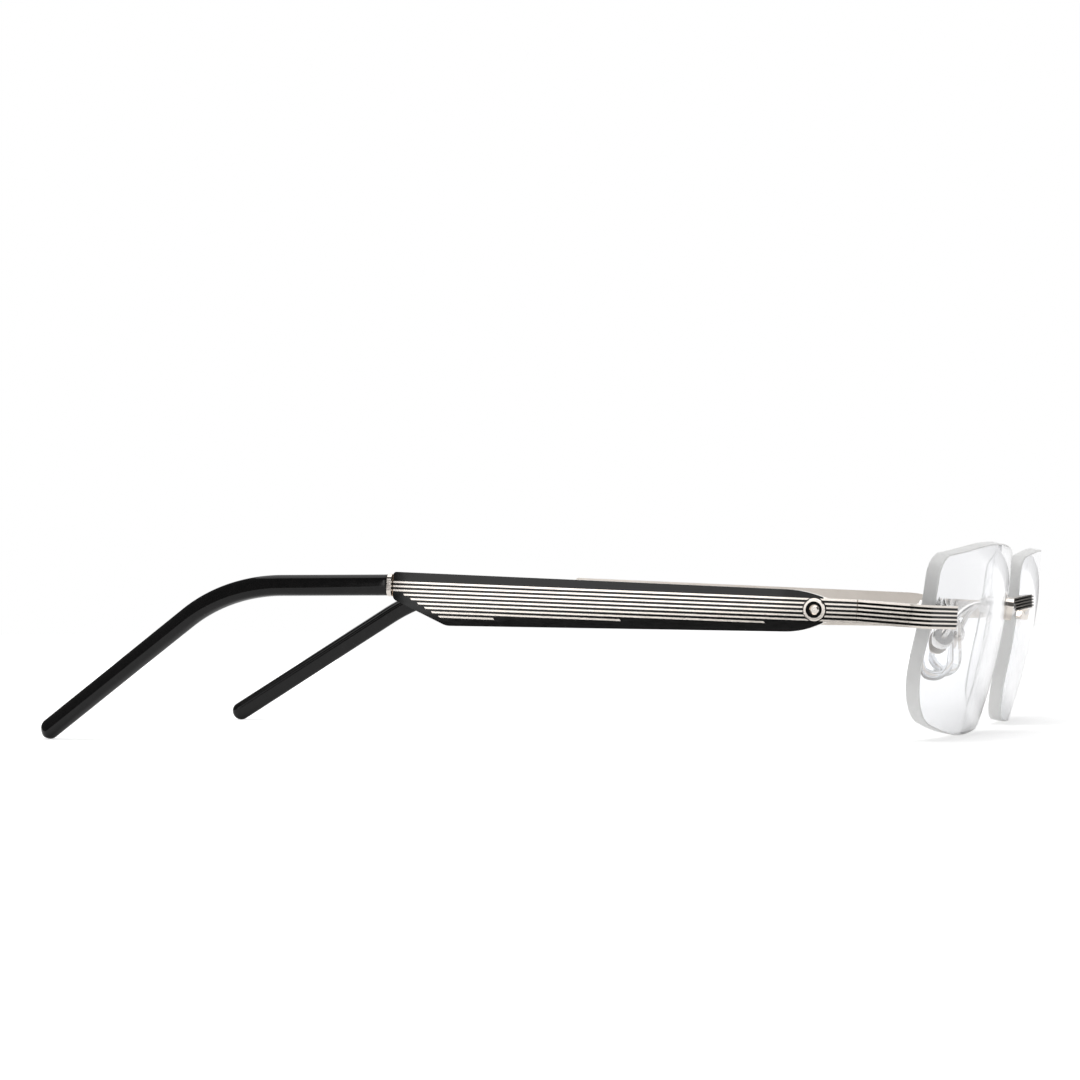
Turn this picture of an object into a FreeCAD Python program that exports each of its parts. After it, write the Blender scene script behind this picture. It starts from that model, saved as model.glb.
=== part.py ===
import FreeCAD, Part

import math
import os

import Sketcher

# Rimless eyeglasses standing open on their lens bottoms and temple tips.
# +Z is up, the front looks towards -Y, the temples run back towards +Y and the wearer's right is -X.
# Everything is drawn on the wearer's right side and mirrored in the plane X = 0.

Vector = FreeCAD.Vector
Rotation = FreeCAD.Rotation
Placement = FreeCAD.Placement

DIMENSIONS = (
    # name, millimetres or degrees, meaning
    ("front_y", -72.47, "Y of the plane from which the front is laid out"),
    ("lens_center_x", 35.0, "lateral distance of a lens centre"),
    ("lens_center_z", 15.38, "height of a lens centre"),
    ("lens_apex_y", -2.51, "front of the lens dome, from the front plane"),
    ("lens_lean", 11.67, "top of the lens leans forward"),
    ("lens_wrap", 6.5, "temple side of the lens turns back"),
    ("lens_radius", 99.9, "radius of the lens front"),
    ("lens_back_radius", 97.8, "radius of the lens back"),
    ("lens_block", 40.0, "depth of the block that the lens is cut from"),
    ("lens_temple_x", -23.6, "outline corner, top at the temple"),
    ("lens_temple_top", 11.8, "outline corner, top at the temple"),
    ("lens_crown_x", 6.1, "outline crown"),
    ("lens_crown_top", 16.03, "outline crown"),
    ("lens_nose_x", 27.5, "outline corner, top at the nose"),
    ("lens_nose_top", 12.03, "outline corner, top at the nose"),
    ("lens_nose_low_x", 23.4, "outline corner, bottom at the nose"),
    ("lens_nose_low", -15.7, "outline corner, bottom at the nose"),
    ("lens_keel_x", -5.84, "outline keel"),
    ("lens_keel", -16.16, "outline keel"),
    ("lens_temple_low_x", -25.3, "outline corner, bottom at the temple"),
    ("lens_temple_low", -12.16, "outline corner, bottom at the temple"),
    ("lens_round_temple_top", 4.2, "corner radius"),
    ("lens_round_nose_top", 3.65, "corner radius"),
    ("lens_round_nose_low", 10.7, "corner radius"),
    ("lens_round_temple_low", 10.5, "corner radius"),
    ("lens_round_crown", 106.0, "radius of the top edge"),
    ("lens_round_keel", 95.0, "radius of the bottom edge"),
    ("lens_bevel", 0.18, "safety bevel of the lens edge"),
    ("lens_hole", 0.90, "radius of a drilled hole"),
    ("drill_length", 6.0, "length of the drill that makes it"),
    ("drill_lead", 2.0, "the drill starts this far in front of the lens"),
    ("temple_mount_x", -21.6, "drilled hole at the temple, from the lens centre"),
    ("temple_mount_z", 3.7, "drilled hole at the temple, from the lens centre"),
    ("nose_mount_x", 23.8, "drilled hole at the nose, from the lens centre"),
    ("nose_mount_z", 3.9, "drilled hole at the nose, from the lens centre"),
    ("bushing_outer", 0.88, "radius of a plastic sleeve in the lens"),
    ("bushing_inner", 0.62, "bore of a plastic sleeve"),
    ("bushing_start", 0.08, "front end of a sleeve behind the lens front"),
    ("bushing_length", 2.0, "length of a sleeve"),
    ("stud_radius", 0.60, "radius of a stud or screw shank"),
    ("washer_radius", 1.55, "radius of a plastic washer"),
    ("washer_start", 2.13, "washer face, from the lens front"),
    ("washer_thickness", 0.30, "thickness of a washer"),
    ("nut_circumradius", 1.30, "hexagon nut, to its corners"),
    ("nut_thickness", 1.10, "height of a nut"),
    ("seat_gap", 0.02, "gap between stacked pieces"),
    ("stud_end", 4.1, "end of a stud behind the lens front"),
    ("temple_x", -65.46, "outside of the temple at the hinge"),
    ("temple_y", 12.95, "hinge line behind the front plane"),
    ("temple_z", 19.57, "middle of the temple at the hinge"),
    ("temple_toe_in", 4.5, "temples come together towards the ears"),
    ("temple_rise", 3.0, "temples rise towards the ears"),
    ("metal_thickness", 1.3, "thickness of lug, arm and plate"),
    ("strip_height", 3.5, "height of lug and arm"),
    ("enamel_depth", 0.2, "depth of the black fill"),
    ("line_proud", 0.05, "raised lines stand proud of the fill"),
    ("line_pitch", 0.62, "spacing of the lines on lug and arm"),
    ("line_width", 0.26, "width of the lines on lug and arm"),
    ("joint_gap", 0.03, "half of the seam at the hinge"),
    ("lug_drop", 2.0, "the lug drops towards the lens by this angle more than the temple"),
    ("lug_corner_y", -10.43, "outer corner of the lug, from the hinge line"),
    ("lug_turn", 10.8, "angle of the lug front to a square corner"),
    ("lug_front_length", 11.87, "outer corner to the end of the lug"),
    ("lug_front_thickness", 1.95, "thickness of the lug front before it is fitted to the lens"),
    ("lug_outer_round", 3.0, "outer bend radius of the lug"),
    ("lug_inner_round", 1.7, "inner bend radius of the lug"),
    ("lug_skin_round", 2.8, "inner bend radius of the lug's black fill"),
    ("plate_rear_y", 73.95, "rear end of the plate"),
    ("plate_top_z", 3.05, "rear end of the plate's top edge"),
    ("plate_crest_z", 2.86, "front end of the plate's top edge"),
    ("plate_heel_z", -1.19, "bottom of the plate's rear end"),
    ("plate_low_y", 64.9, "end of the slanted edge"),
    ("plate_low_z", -4.98, "lowest corner of the plate"),
    ("plate_front_y", 8.6, "front of the bottom edge"),
    ("plate_front_z", -3.4, "front of the bottom edge"),
    ("plate_crest_y", 8.3, "front of the top edge"),
    ("arm_end_y", 4.7, "arm meets plate"),
    ("plate_heel_round", 1.0, "corner radius"),
    ("plate_low_round", 3.0, "corner radius"),
    ("plate_crest_round", 17.0, "corner radius, front end of the top edge"),
    ("plate_front_round", 12.0, "corner radius, front end of the bottom edge"),
    ("plate_top_round", 0.5, "corner radius"),
    ("field_arm_z", 1.42, "half height of the black field on the arm"),
    ("field_end_y", 5.1, "the black field widens here"),
    ("field_shoulder_y", 5.2, "the wide part of the black field begins here"),
    ("line_fan_y", 8.5, "lines run parallel in front of this"),
    ("line_first_z", 1.55, "first line, front end"),
    ("line_rear_first_z", 1.455, "first line, rear end"),
    ("line_rear_pitch", 0.636, "spacing of the lines at the rear end"),
    ("line_rear_width", 0.285, "width of the lines at the rear end"),
    ("line_end_y", 72.2, "rear end of the fourth line"),
    ("line_end_step", 1.19, "each further line ends this much further forward"),
    ("groove_reach", 20.0, "length of the boxes that mark the grooves of the lug"),
    ("groove_lead", 1.0, "the same boxes start this far outside the lug"),
    ("line_end_a", 14.0, "front end of the seventh line"),
    ("line_end_b", 36.6, "front end of the eighth line"),
    ("line_end_c", 57.0, "front end of the ninth line"),
    ("line_end_slant", 0.25, "slant of the cut line ends"),
    ("badge_y", 6.5, "centre of the medallion"),
    ("badge_radius", 1.70, "outer radius of the medallion"),
    ("badge_inner", 1.24, "inner radius of its rim"),
    ("badge_boss", 0.75, "radius of its plain centre boss"),
    ("badge_rise", 0.42, "rim above the black field"),
    ("badge_shoulder", 1.58, "radius where the rim turns down"),
    ("badge_shoulder_rise", 0.29, "outer edge of the rim above the black field"),
    ("badge_boss_top", 0.5, "radius of the boss at its top"),
    ("badge_boss_rise", 0.34, "boss above the black field"),
    ("badge_border", 0.14, "black border between the medallion and the cut lines"),
    ("badge_floor", 0.08, "floor of the medallion below the black field"),
    ("badge_fill", 0.22, "depth of its black fill"),
    ("badge_gap", 0.01, "gap around the medallion"),
    ("hinge_axis_x", 2.5, "hinge pin inside the outer face"),
    ("hinge_height", 2.7, "height of the hinge below its screw head"),
    ("knuckle_radius", 1.1, "radius of the hinge knuckles"),
    ("knuckle_half", 0.62, "half height of the middle knuckle"),
    ("knuckle_gap", 0.05, "running gap between knuckles"),
    ("leaf_thickness", 0.6, "thickness of a hinge leaf"),
    ("leaf_reach", 4.6, "end of a hinge leaf from the pin"),
    ("leaf_clear", 1.35, "start of a hinge leaf from the pin"),
    ("pin_radius", 0.45, "radius of the hinge screw"),
    ("pin_bore", 0.50, "bore of the middle knuckle"),
    ("pin_seat", 0.46, "bore of the outer knuckles"),
    ("pin_head_radius", 0.85, "radius of the screw head"),
    ("pin_head", 0.40, "height of the screw head"),
    ("slot_width", 0.22, "width of a screw slot"),
    ("slot_depth", 0.2, "depth of a screw slot"),
    ("slot_reach", 2.0, "half length of the box that cuts a screw slot"),
    ("collar_gap", 0.09, "gap in front of and behind the collar ring"),
    ("collar_length", 0.7, "length of the collar ring"),
    ("collar_height", 3.5, "height of the collar ring"),
    ("collar_width", 2.7, "width of the collar ring"),
    ("collar_round_radius", 0.9, "corner radius of the collar ring"),
    ("collar_bore", 0.72, "bore of the collar ring"),
    ("sleeve_height", 3.3, "height of the tip sleeve"),
    ("sleeve_width", 2.6, "width of the tip sleeve"),
    ("sleeve_start_z", 0.95, "middle of the sleeve at its front end"),
    ("bend_y", 102.3, "corner of the bend behind the hinge"),
    ("bend_z", -0.25, "corner of the bend"),
    ("bend_radius", 30.0, "radius of the bend"),
    ("drop_length", 43.1, "corner of the bend to the centre of the tip's round end"),
    ("drop_toe_in", 12.7, "tips turn inwards by this angle"),
    ("drop_angle", 35.2, "tips turn down by this angle"),
    ("drop_twist", 16.0, "sleeve twists by this angle on the way"),
    ("core_radius", 0.6, "radius of the core wire"),
    ("core_bore", 0.62, "bore of the sleeve"),
    ("core_gap", 0.04, "gap between plate and core wire"),
    ("core_share", 0.72, "share of the path that the core wire follows"),
    ("bridge_end_x", 8.8, "half span of the bridge bow"),
    ("bridge_end_y", -4.0, "front of the bow at its ends"),
    ("bridge_apex_y", -6.3, "front of the bow in the middle"),
    ("bridge_reach_x", 9.7, "half width of the bow with its ends in the feet"),
    ("bridge_end_z", 20.35, "middle of the bow at its ends"),
    ("bridge_apex_z", 21.05, "middle of the bow at the centre"),
    ("bridge_pitch", 0.48, "spacing of the lines on the bridge"),
    ("bridge_line", 0.20, "width of the lines on the bridge"),
    ("bridge_thickness", 1.2, "thickness of the bow"),
    ("bridge_blank_z", 10.0, "underside of the blank that the bow is cut from"),
    ("foot_outer", 2.2, "foot from the screw towards the temple"),
    ("foot_inner", 3.0, "foot from the screw towards the nose"),
    ("foot_height", 3.7, "height of a foot"),
    ("foot_thickness", 0.95, "thickness of a foot"),
    ("foot_round", 1.3, "corner radius of a foot"),
    ("foot_inner_round", 0.4, "corner radius of a foot towards the nose"),
    ("fit_gap", 0.03, "gap between metal and lens"),
    ("head_radius", 1.05, "radius of a bridge screw head"),
    ("head_height", 0.55, "height of a bridge screw head"),
    ("head_dome", 1.28, "dome radius of a bridge screw head"),
    ("arm_foot_radius", 1.62, "radius of the pad arm's foot"),
    ("arm_foot_thickness", 0.55, "thickness of the pad arm's foot"),
    ("wire_radius", 0.5, "radius of the pad arm wire"),
    ("wire_back", 4.6, "first pull of the wire, straight back"),
    ("wire_lift", 0.8, "first pull of the wire, upwards"),
    ("wire_side", 1.6, "first pull of the wire, towards the nose"),
    ("wire_start", 1.34, "start of the wire from the middle of the foot"),
    ("wire_entry", 2.6, "last pull of the wire, out of the box"),
    ("pad_x", -9.4, "centre of a nose pad"),
    ("pad_y", 8.7, "centre of a nose pad behind the front plane"),
    ("pad_z", 14.2, "centre of a nose pad"),
    ("pad_splay", 28.0, "pads open towards the face"),
    ("pad_frontal", 18.0, "pads open downwards"),
    ("pad_lean", 20.0, "top of the pad leans forward"),
    ("pad_length", 5.5, "distance of the pad's two round ends"),
    ("pad_big", 3.75, "radius of the pad's lower end"),
    ("pad_small", 2.6, "radius of the pad's upper end"),
    ("pad_thickness", 2.6, "thickness of a pad"),
    ("pad_round", 1.15, "edge radius of a pad"),
    ("insert_radius", 2.0, "radius of the metal insert in the pad"),
    ("insert_thickness", 0.5, "thickness of the insert"),
    ("stem_radius", 0.55, "radius of the pad's stud"),
    ("ball_radius", 0.75, "radius of the ball on the stud"),
    ("ball_reach", 2.95, "ball centre from the middle of the pad"),
    ("box_radius", 1.85, "outer radius of the pad box"),
    ("box_bore", 1.2, "bore of the pad box"),
    ("box_front", 0.75, "open end of the pad box, from the ball centre"),
    ("box_back", 1.20, "closed end of the pad box, from the ball centre"),
    ("box_floor", 0.37, "floor of the pad box"),
    ("box_round", 0.3, "edge radius of the pad box"),
    ("pad_pin_radius", 0.22, "radius of the pad pin"),
    ("pad_pin_bore", 0.28, "bore for the pin in the ball"),
)

# The lug has five grooves between its six lines, the bridge has four.
GROOVES = 5
BRIDGE_GROOVES = 4
# Nine raised lines run along each temple; three of them reach its rear end and six its front end.
LINES = 9
REAR_LINES = 3
FRONT_LINES = 6
# Sections along a tip sleeve.
SLEEVE_STATIONS = 28
# Edges closer than this to a corner belong to it.
SAME_PLACE = 0.02
TINY = 1e-6

document = FreeCAD.newDocument("eyeglasses")
sheet = document.addObject("Spreadsheet::Sheet", "Dimensions")
for row, (alias, number, meaning) in enumerate(DIMENSIONS, start=1):
    sheet.set("A%d" % row, alias)
    sheet.set("B%d" % row, str(number))
    sheet.setAlias("B%d" % row, alias)
    sheet.set("C%d" % row, meaning)
document.recompute()


def size(alias):
    """The number in the sheet cell with this alias."""
    return float(sheet.get(alias))


def bind(item, field, formula):
    """Tie a property to a formula of sheet cells, written with bare aliases after a dot."""
    item.setExpression(field, formula.replace("$", "Dimensions."))


# ---------------------------------------------------------------- frames

def turn(axis, degrees):
    return Rotation(axis, degrees)


AXIS_X = Vector(1, 0, 0)
AXIS_Y = Vector(0, 1, 0)
AXIS_Z = Vector(0, 0, 1)
ORIGIN = Vector(0, 0, 0)

# The right lens: its origin is the middle of the lens front, +y points back.
lens_frame = Placement(
    Vector(-size("lens_center_x"), size("front_y") + size("lens_apex_y"), size("lens_center_z")),
    turn(AXIS_Z, -size("lens_wrap")).multiply(turn(AXIS_X, size("lens_lean"))),
)

# The right temple: its origin is on the outer face at the hinge line, +x points inwards, +y back along the temple.
temple_frame = Placement(
    Vector(size("temple_x"), size("front_y") + size("temple_y"), size("temple_z")),
    turn(AXIS_Z, -size("temple_toe_in")).multiply(turn(AXIS_X, size("temple_rise"))),
)

# The lug drops a little more steeply from the same origin.
lug_frame = temple_frame.multiply(Placement(ORIGIN, turn(AXIS_X, size("lug_drop"))))

# The right nose pad: its origin is the middle of the pad, +x faces the nose, +z runs along the pad.
pad_frame = Placement(
    Vector(size("pad_x"), size("front_y") + size("pad_y"), size("pad_z")),
    turn(AXIS_Z, size("pad_splay"))
    .multiply(turn(AXIS_Y, size("pad_frontal")))
    .multiply(turn(AXIS_X, size("pad_lean"))),
)


def mount_frame(lateral, height):
    """A frame on the lens front at a drilled hole: +y runs through the lens towards its centre of curvature."""
    radius = size("lens_radius")
    depth = radius - math.sqrt(radius ** 2 - lateral ** 2 - height ** 2)
    point = Vector(lateral, depth, height)
    inward = Vector(0, radius, 0).sub(point).normalize()
    local = Placement(point, Rotation(Vector(0, 0, 0), inward, AXIS_Z, "YZX"))
    return lens_frame.multiply(local)


temple_mount = mount_frame(size("temple_mount_x"), size("temple_mount_z"))
nose_mount = mount_frame(size("nose_mount_x"), size("nose_mount_z"))


def through(mount, start):
    """A frame whose z axis runs back through the lens and starts this far behind the lens front."""
    return mount.multiply(Placement(Vector(0, start, 0), turn(AXIS_X, -90)))


# ---------------------------------------------------------------- building blocks

def new_body(name, frame=Placement()):
    body = document.addObject("PartDesign::Body", name)
    body.Placement = frame
    return body


def new_sketch(body, name, role):
    sketch = body.newObject("Sketcher::SketchObject", name)
    planes = [feature for feature in body.Origin.OriginFeatures if feature.Role == role]
    sketch.AttachmentSupport = [(planes[0], "")]
    sketch.MapMode = "FlatFace"
    return sketch


def place_corner(sketch, line, across, up):
    """Fix the start of a sketch line. Each coordinate is a formula for the sheet and its present value."""
    for kind, axis, (formula, value) in (("DistanceX", -2, across), ("DistanceY", -1, up)):
        if formula == "0":
            sketch.addConstraint(Sketcher.Constraint("PointOnObject", line, 1, axis))
            continue
        index = sketch.addConstraint(Sketcher.Constraint(kind, -1, 1, line, 1, value))
        bind(sketch, "Constraints[%d]" % index, formula)


def add_polygon(sketch, corners):
    """A closed outline of straight lines between corners bound to the sheet."""
    points = [Vector(across[1], up[1], 0) for across, up in corners]
    first = sketch.GeometryCount
    for index, point in enumerate(points):
        following = points[(index + 1) % len(points)]
        sketch.addGeometry(Part.LineSegment(point, following), False)
    count = len(points)
    for index in range(count):
        here = first + index
        after = first + (index + 1) % count
        sketch.addConstraint(Sketcher.Constraint("Coincident", here, 2, after, 1))
    for index, (across, up) in enumerate(corners):
        place_corner(sketch, first + index, across, up)


def cell(alias, factor=1.0, extra=None):
    """A coordinate: the sheet formula of a cell times a factor, plus another cell, and its value."""
    formula = "$%s * %r" % (alias, factor)
    value = size(alias) * factor
    if extra:
        formula += " + $%s" % extra
        value += size(extra)
    return formula, value


ZERO = ("0", 0.0)


def add_pad(body, sketch, name, length, midplane=False, reverse=False):
    pad = body.newObject("PartDesign::Pad", name)
    pad.Profile = sketch
    bind(pad, "Length", length)
    pad.Midplane = midplane
    pad.Reversed = reverse
    document.recompute()
    return pad


def round_corners(body, name, axis, corners, alias):
    """Round the edges that run along an axis of the body through the given corners."""
    found = []
    solid = body.Tip
    for number, edge in enumerate(solid.Shape.Edges, start=1):
        ends = [vertex.Point for vertex in edge.Vertexes]
        if len(ends) != 2:
            continue
        run = ends[1].sub(ends[0])
        if run.Length < TINY or run.normalize().cross(axis).Length > TINY:
            continue
        for corner in corners:
            away = ends[0].sub(corner)
            if away.sub(axis * away.dot(axis)).Length < SAME_PLACE:
                found.append("Edge%d" % number)
    if len(found) != len(corners):
        raise ValueError("%s: %d edges for %d corners" % (name, len(found), len(corners)))
    fillet = body.newObject("PartDesign::Fillet", name)
    fillet.Base = (solid, found)
    bind(fillet, "Radius", "$" + alias)
    document.recompute()
    return fillet


def cylinder(name, radius, length, frame):
    item = document.addObject("Part::Cylinder", name)
    bind(item, "Radius", radius)
    bind(item, "Height", length)
    item.Placement = frame
    return item


def sphere(name, radius, center):
    item = document.addObject("Part::Sphere", name)
    bind(item, "Radius", radius)
    item.Placement = center
    return item


def block(name, lengths, frame):
    """A box with bound sides whose corner is the frame's origin."""
    item = document.addObject("Part::Box", name)
    for side, formula in zip(("Length", "Width", "Height"), lengths):
        bind(item, side, formula)
    item.Placement = frame
    return item


def cut(name, base, tool):
    item = document.addObject("Part::Cut", name)
    item.Base = base
    item.Tool = tool
    return item


def fuse(name, pieces):
    item = document.addObject("Part::MultiFuse", name)
    item.Shapes = pieces
    return item


def common(name, pieces):
    item = document.addObject("Part::MultiCommon", name)
    item.Shapes = pieces
    return item


def group(name, pieces):
    item = document.addObject("Part::Compound", name)
    item.Links = pieces
    return item


def mirror(name, source):
    item = document.addObject("Part::Mirroring", name)
    item.Source = source
    item.Normal = AXIS_X
    item.Base = ORIGIN
    return item


def tube(name, outer, bore, length, frame):
    return cut(
        name,
        cylinder(name + "_solid", outer, length, frame),
        cylinder(name + "_bore", bore, length, frame),
    )


# ---------------------------------------------------------------- lens

def make_lens():
    block_body = new_body("lens_block_shape", lens_frame)
    outline = new_sketch(block_body, "lens_outline", "XZ_Plane")
    corners = (
        ("lens_temple_x", "lens_temple_top"),
        ("lens_crown_x", "lens_crown_top"),
        ("lens_nose_x", "lens_nose_top"),
        ("lens_nose_low_x", "lens_nose_low"),
        ("lens_keel_x", "lens_keel"),
        ("lens_temple_low_x", "lens_temple_low"),
    )
    add_polygon(outline, [(cell(across), cell(up)) for across, up in corners])
    add_pad(block_body, outline, "lens_prism", "$lens_block", midplane=True)
    rounds = (
        "lens_round_temple_top",
        "lens_round_crown",
        "lens_round_nose_top",
        "lens_round_nose_low",
        "lens_round_keel",
        "lens_round_temple_low",
    )
    for (across, up), alias in zip(corners, rounds):
        corner = Vector(size(across), 0, size(up))
        round_corners(block_body, "edge_" + alias, AXIS_Y, [corner], alias)
    front = lens_frame.multiply(Placement(Vector(0, size("lens_radius"), 0), Rotation()))
    dome = sphere("lens_front_ball", "$lens_radius", front)
    hollow = sphere("lens_back_ball", "$lens_back_radius", front)
    blank = cut("lens_blank", common("lens_cap", [block_body, dome]), hollow)
    drills = [
        cylinder("lens_drill_" + place, "$lens_hole", "$drill_length", through(mount, -size("drill_lead")))
        for place, mount in (("temple", temple_mount), ("nose", nose_mount))
    ]
    drilled = cut("lens_drilled", blank, group("lens_drills", drills))
    document.recompute()
    bevel = document.addObject("Part::Chamfer", "right_lens")
    bevel.Base = drilled
    width = size("lens_bevel")
    rim = rim_edges(drilled.Shape)
    bevel.Edges = [(number, width, width) for number in rim]
    return bevel


def rim_edges(shape):
    """The edges between a lens face and the lens's rim, without the drilled holes."""
    numbers = []
    for number, edge in enumerate(shape.Edges, start=1):
        touching = [face.Surface for face in shape.Faces if any(edge.isSame(other) for other in face.Edges)]
        balls = [surface for surface in touching if surface.TypeId == "Part::GeomSphere"]
        holes = [surface for surface in touching if surface.TypeId == "Part::GeomCylinder"
                 and surface.Radius < 2 * size("lens_hole")]
        if len(touching) == 2 and len(balls) == 1 and not holes:
            numbers.append(number)
    return numbers


def lens_ball(name, gap):
    """The lens's own front ball, grown by a gap, which trims whatever lies on the lens."""
    center = lens_frame.multiply(Placement(Vector(0, size("lens_radius"), 0), Rotation()))
    return sphere(name, "$lens_radius + $" + gap, center)


# ---------------------------------------------------------------- endpiece

def lug_corners(thickness_arm, thickness_front):
    """Plan of the bent lug: outer face, end, inner face. Angles and lengths come from the sheet."""
    turn_angle = math.radians(size("lug_turn"))
    along = Vector(math.cos(turn_angle), -math.sin(turn_angle), 0)
    inward = Vector(math.sin(turn_angle), math.cos(turn_angle), 0)
    arm, front = size(thickness_arm), size(thickness_front)
    corner_y = size("lug_corner_y")
    end = Vector(0, corner_y, 0).add(along * size("lug_front_length"))
    back = end.add(inward * front)
    cosine = "cos($lug_turn * 1deg)"
    sine = "sin($lug_turn * 1deg)"
    end_x = "$lug_front_length * " + cosine
    end_y = "$lug_corner_y - $lug_front_length * " + sine
    back_x = "%s + $%s * %s" % (end_x, thickness_front, sine)
    back_y = "%s + $%s * %s" % (end_y, thickness_front, cosine)
    inner_y = back.y + (back.x - arm) * math.tan(turn_angle)
    inner_formula = "%s + (%s - $%s) * tan($lug_turn * 1deg)" % (back_y, back_x, thickness_arm)
    return [
        (ZERO, ("-$joint_gap", -size("joint_gap"))),
        (ZERO, ("$lug_corner_y", corner_y)),
        ((end_x, end.x), (end_y, end.y)),
        ((back_x, back.x), (back_y, back.y)),
        (("$" + thickness_arm, arm), (inner_formula, inner_y)),
        (("$" + thickness_arm, arm), ("-$joint_gap", -size("joint_gap"))),
    ]


def lug_band(name, thickness_arm, thickness_front, inner_round):
    """The bent strip of the lug, standing at full height."""
    body = new_body(name, lug_frame)
    plan = new_sketch(body, name + "_plan", "XY_Plane")
    corners = lug_corners(thickness_arm, thickness_front)
    add_polygon(plan, corners)
    add_pad(body, plan, name + "_pad", "$strip_height", midplane=True)
    outer = Vector(corners[1][0][1], corners[1][1][1], 0)
    inner = Vector(corners[4][0][1], corners[4][1][1], 0)
    round_corners(body, name + "_outer_bend", AXIS_Z, [outer], "lug_outer_round")
    round_corners(body, name + "_inner_bend", AXIS_Z, [inner], inner_round)
    return body


def make_endpiece():
    strip = lug_band("lug_strip", "metal_thickness", "lug_front_thickness", "lug_inner_round")
    skin = lug_band("lug_skin", "enamel_depth", "enamel_depth", "lug_skin_round")
    grooves = [groove_box("lug_groove_%d" % number, number) for number in range(GROOVES)]
    enamel = common("right_endpiece_enamel", [skin, group("lug_grooves", grooves)])
    stud = cylinder(
        "lug_stud",
        "$stud_radius",
        "$stud_end + $fit_gap + $enamel_depth * 2",
        through(temple_mount, -size("fit_gap") - 2 * size("enamel_depth")),
    )
    beside_lens = block(
        "lug_trim_reach",
        ("$lens_block", "$lens_block", "$lens_block"),
        lens_frame.multiply(Placement(
            Vector(size("lens_temple_low_x"), -size("lens_block") / 2, -size("lens_block") / 2), Rotation()
        )),
    )
    trim = common("lug_trim", [lens_ball("lug_trim_ball", "fit_gap"), beside_lens])
    fitted = cut("lug_fitted", strip, trim)
    grooved = cut("lug_grooved", fitted, enamel)
    return fuse("right_endpiece", [grooved, stud]), enamel


def groove_box(name, number):
    """One of the grooves between the lines of the lug, as a long box."""
    low = size("line_pitch") * (number - GROOVES / 2) + size("line_width") / 2
    corner = Placement(Vector(-size("groove_lead"), -size("groove_reach"), low), Rotation())
    lengths = ("$groove_reach", "$groove_reach", "$line_pitch - $line_width")
    return block(name, lengths, lug_frame.multiply(corner))


# ---------------------------------------------------------------- temple

def below(corner):
    """The same corner on the other side of the arm's middle line."""
    along, (formula, value) = corner
    return along, ("-(" + formula + ")", -value)


def shoulder(end_y, end_z, sign):
    """Where the wide part of the black field begins, on the sloping edge from the arm to the plate."""
    share = (size("field_shoulder_y") - size("arm_end_y")) / (size(end_y) - size("arm_end_y"))
    share_formula = "($field_shoulder_y - $arm_end_y) / ($%s - $arm_end_y)" % end_y
    half_formula, half = cell("strip_height", sign / 2)
    height = half + share * (size(end_z) - half)
    formula = "%s + %s * ($%s - (%s))" % (half_formula, share_formula, end_z, half_formula)
    return cell("field_shoulder_y"), (formula, height)


def temple_slab(name, above, beneath, thickness):
    """A slab in the side outline of arm and plate, between the given upper and lower front corners."""
    body = new_body(name, temple_frame)
    outline = new_sketch(body, name + "_outline", "YZ_Plane")
    plate = [
        (cell("plate_crest_y"), cell("plate_crest_z")),
        (cell("plate_rear_y"), cell("plate_top_z")),
        (cell("plate_rear_y"), cell("plate_heel_z")),
        (cell("plate_low_y"), cell("plate_low_z")),
        (cell("plate_front_y"), cell("plate_front_z")),
    ]
    add_polygon(outline, above + plate + beneath)
    add_pad(body, outline, name + "_pad", thickness)
    soft = (
        ("heel", "plate_rear_y", "plate_heel_z", "plate_heel_round"),
        ("low", "plate_low_y", "plate_low_z", "plate_low_round"),
        ("crest", "plate_crest_y", "plate_crest_z", "plate_crest_round"),
        ("front", "plate_front_y", "plate_front_z", "plate_front_round"),
        ("top", "plate_rear_y", "plate_top_z", "plate_top_round"),
    )
    for place, along, up, alias in soft:
        corner = Vector(0, size(along), size(up))
        round_corners(body, name + "_" + place, AXIS_X, [corner], alias)
    return body


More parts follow.
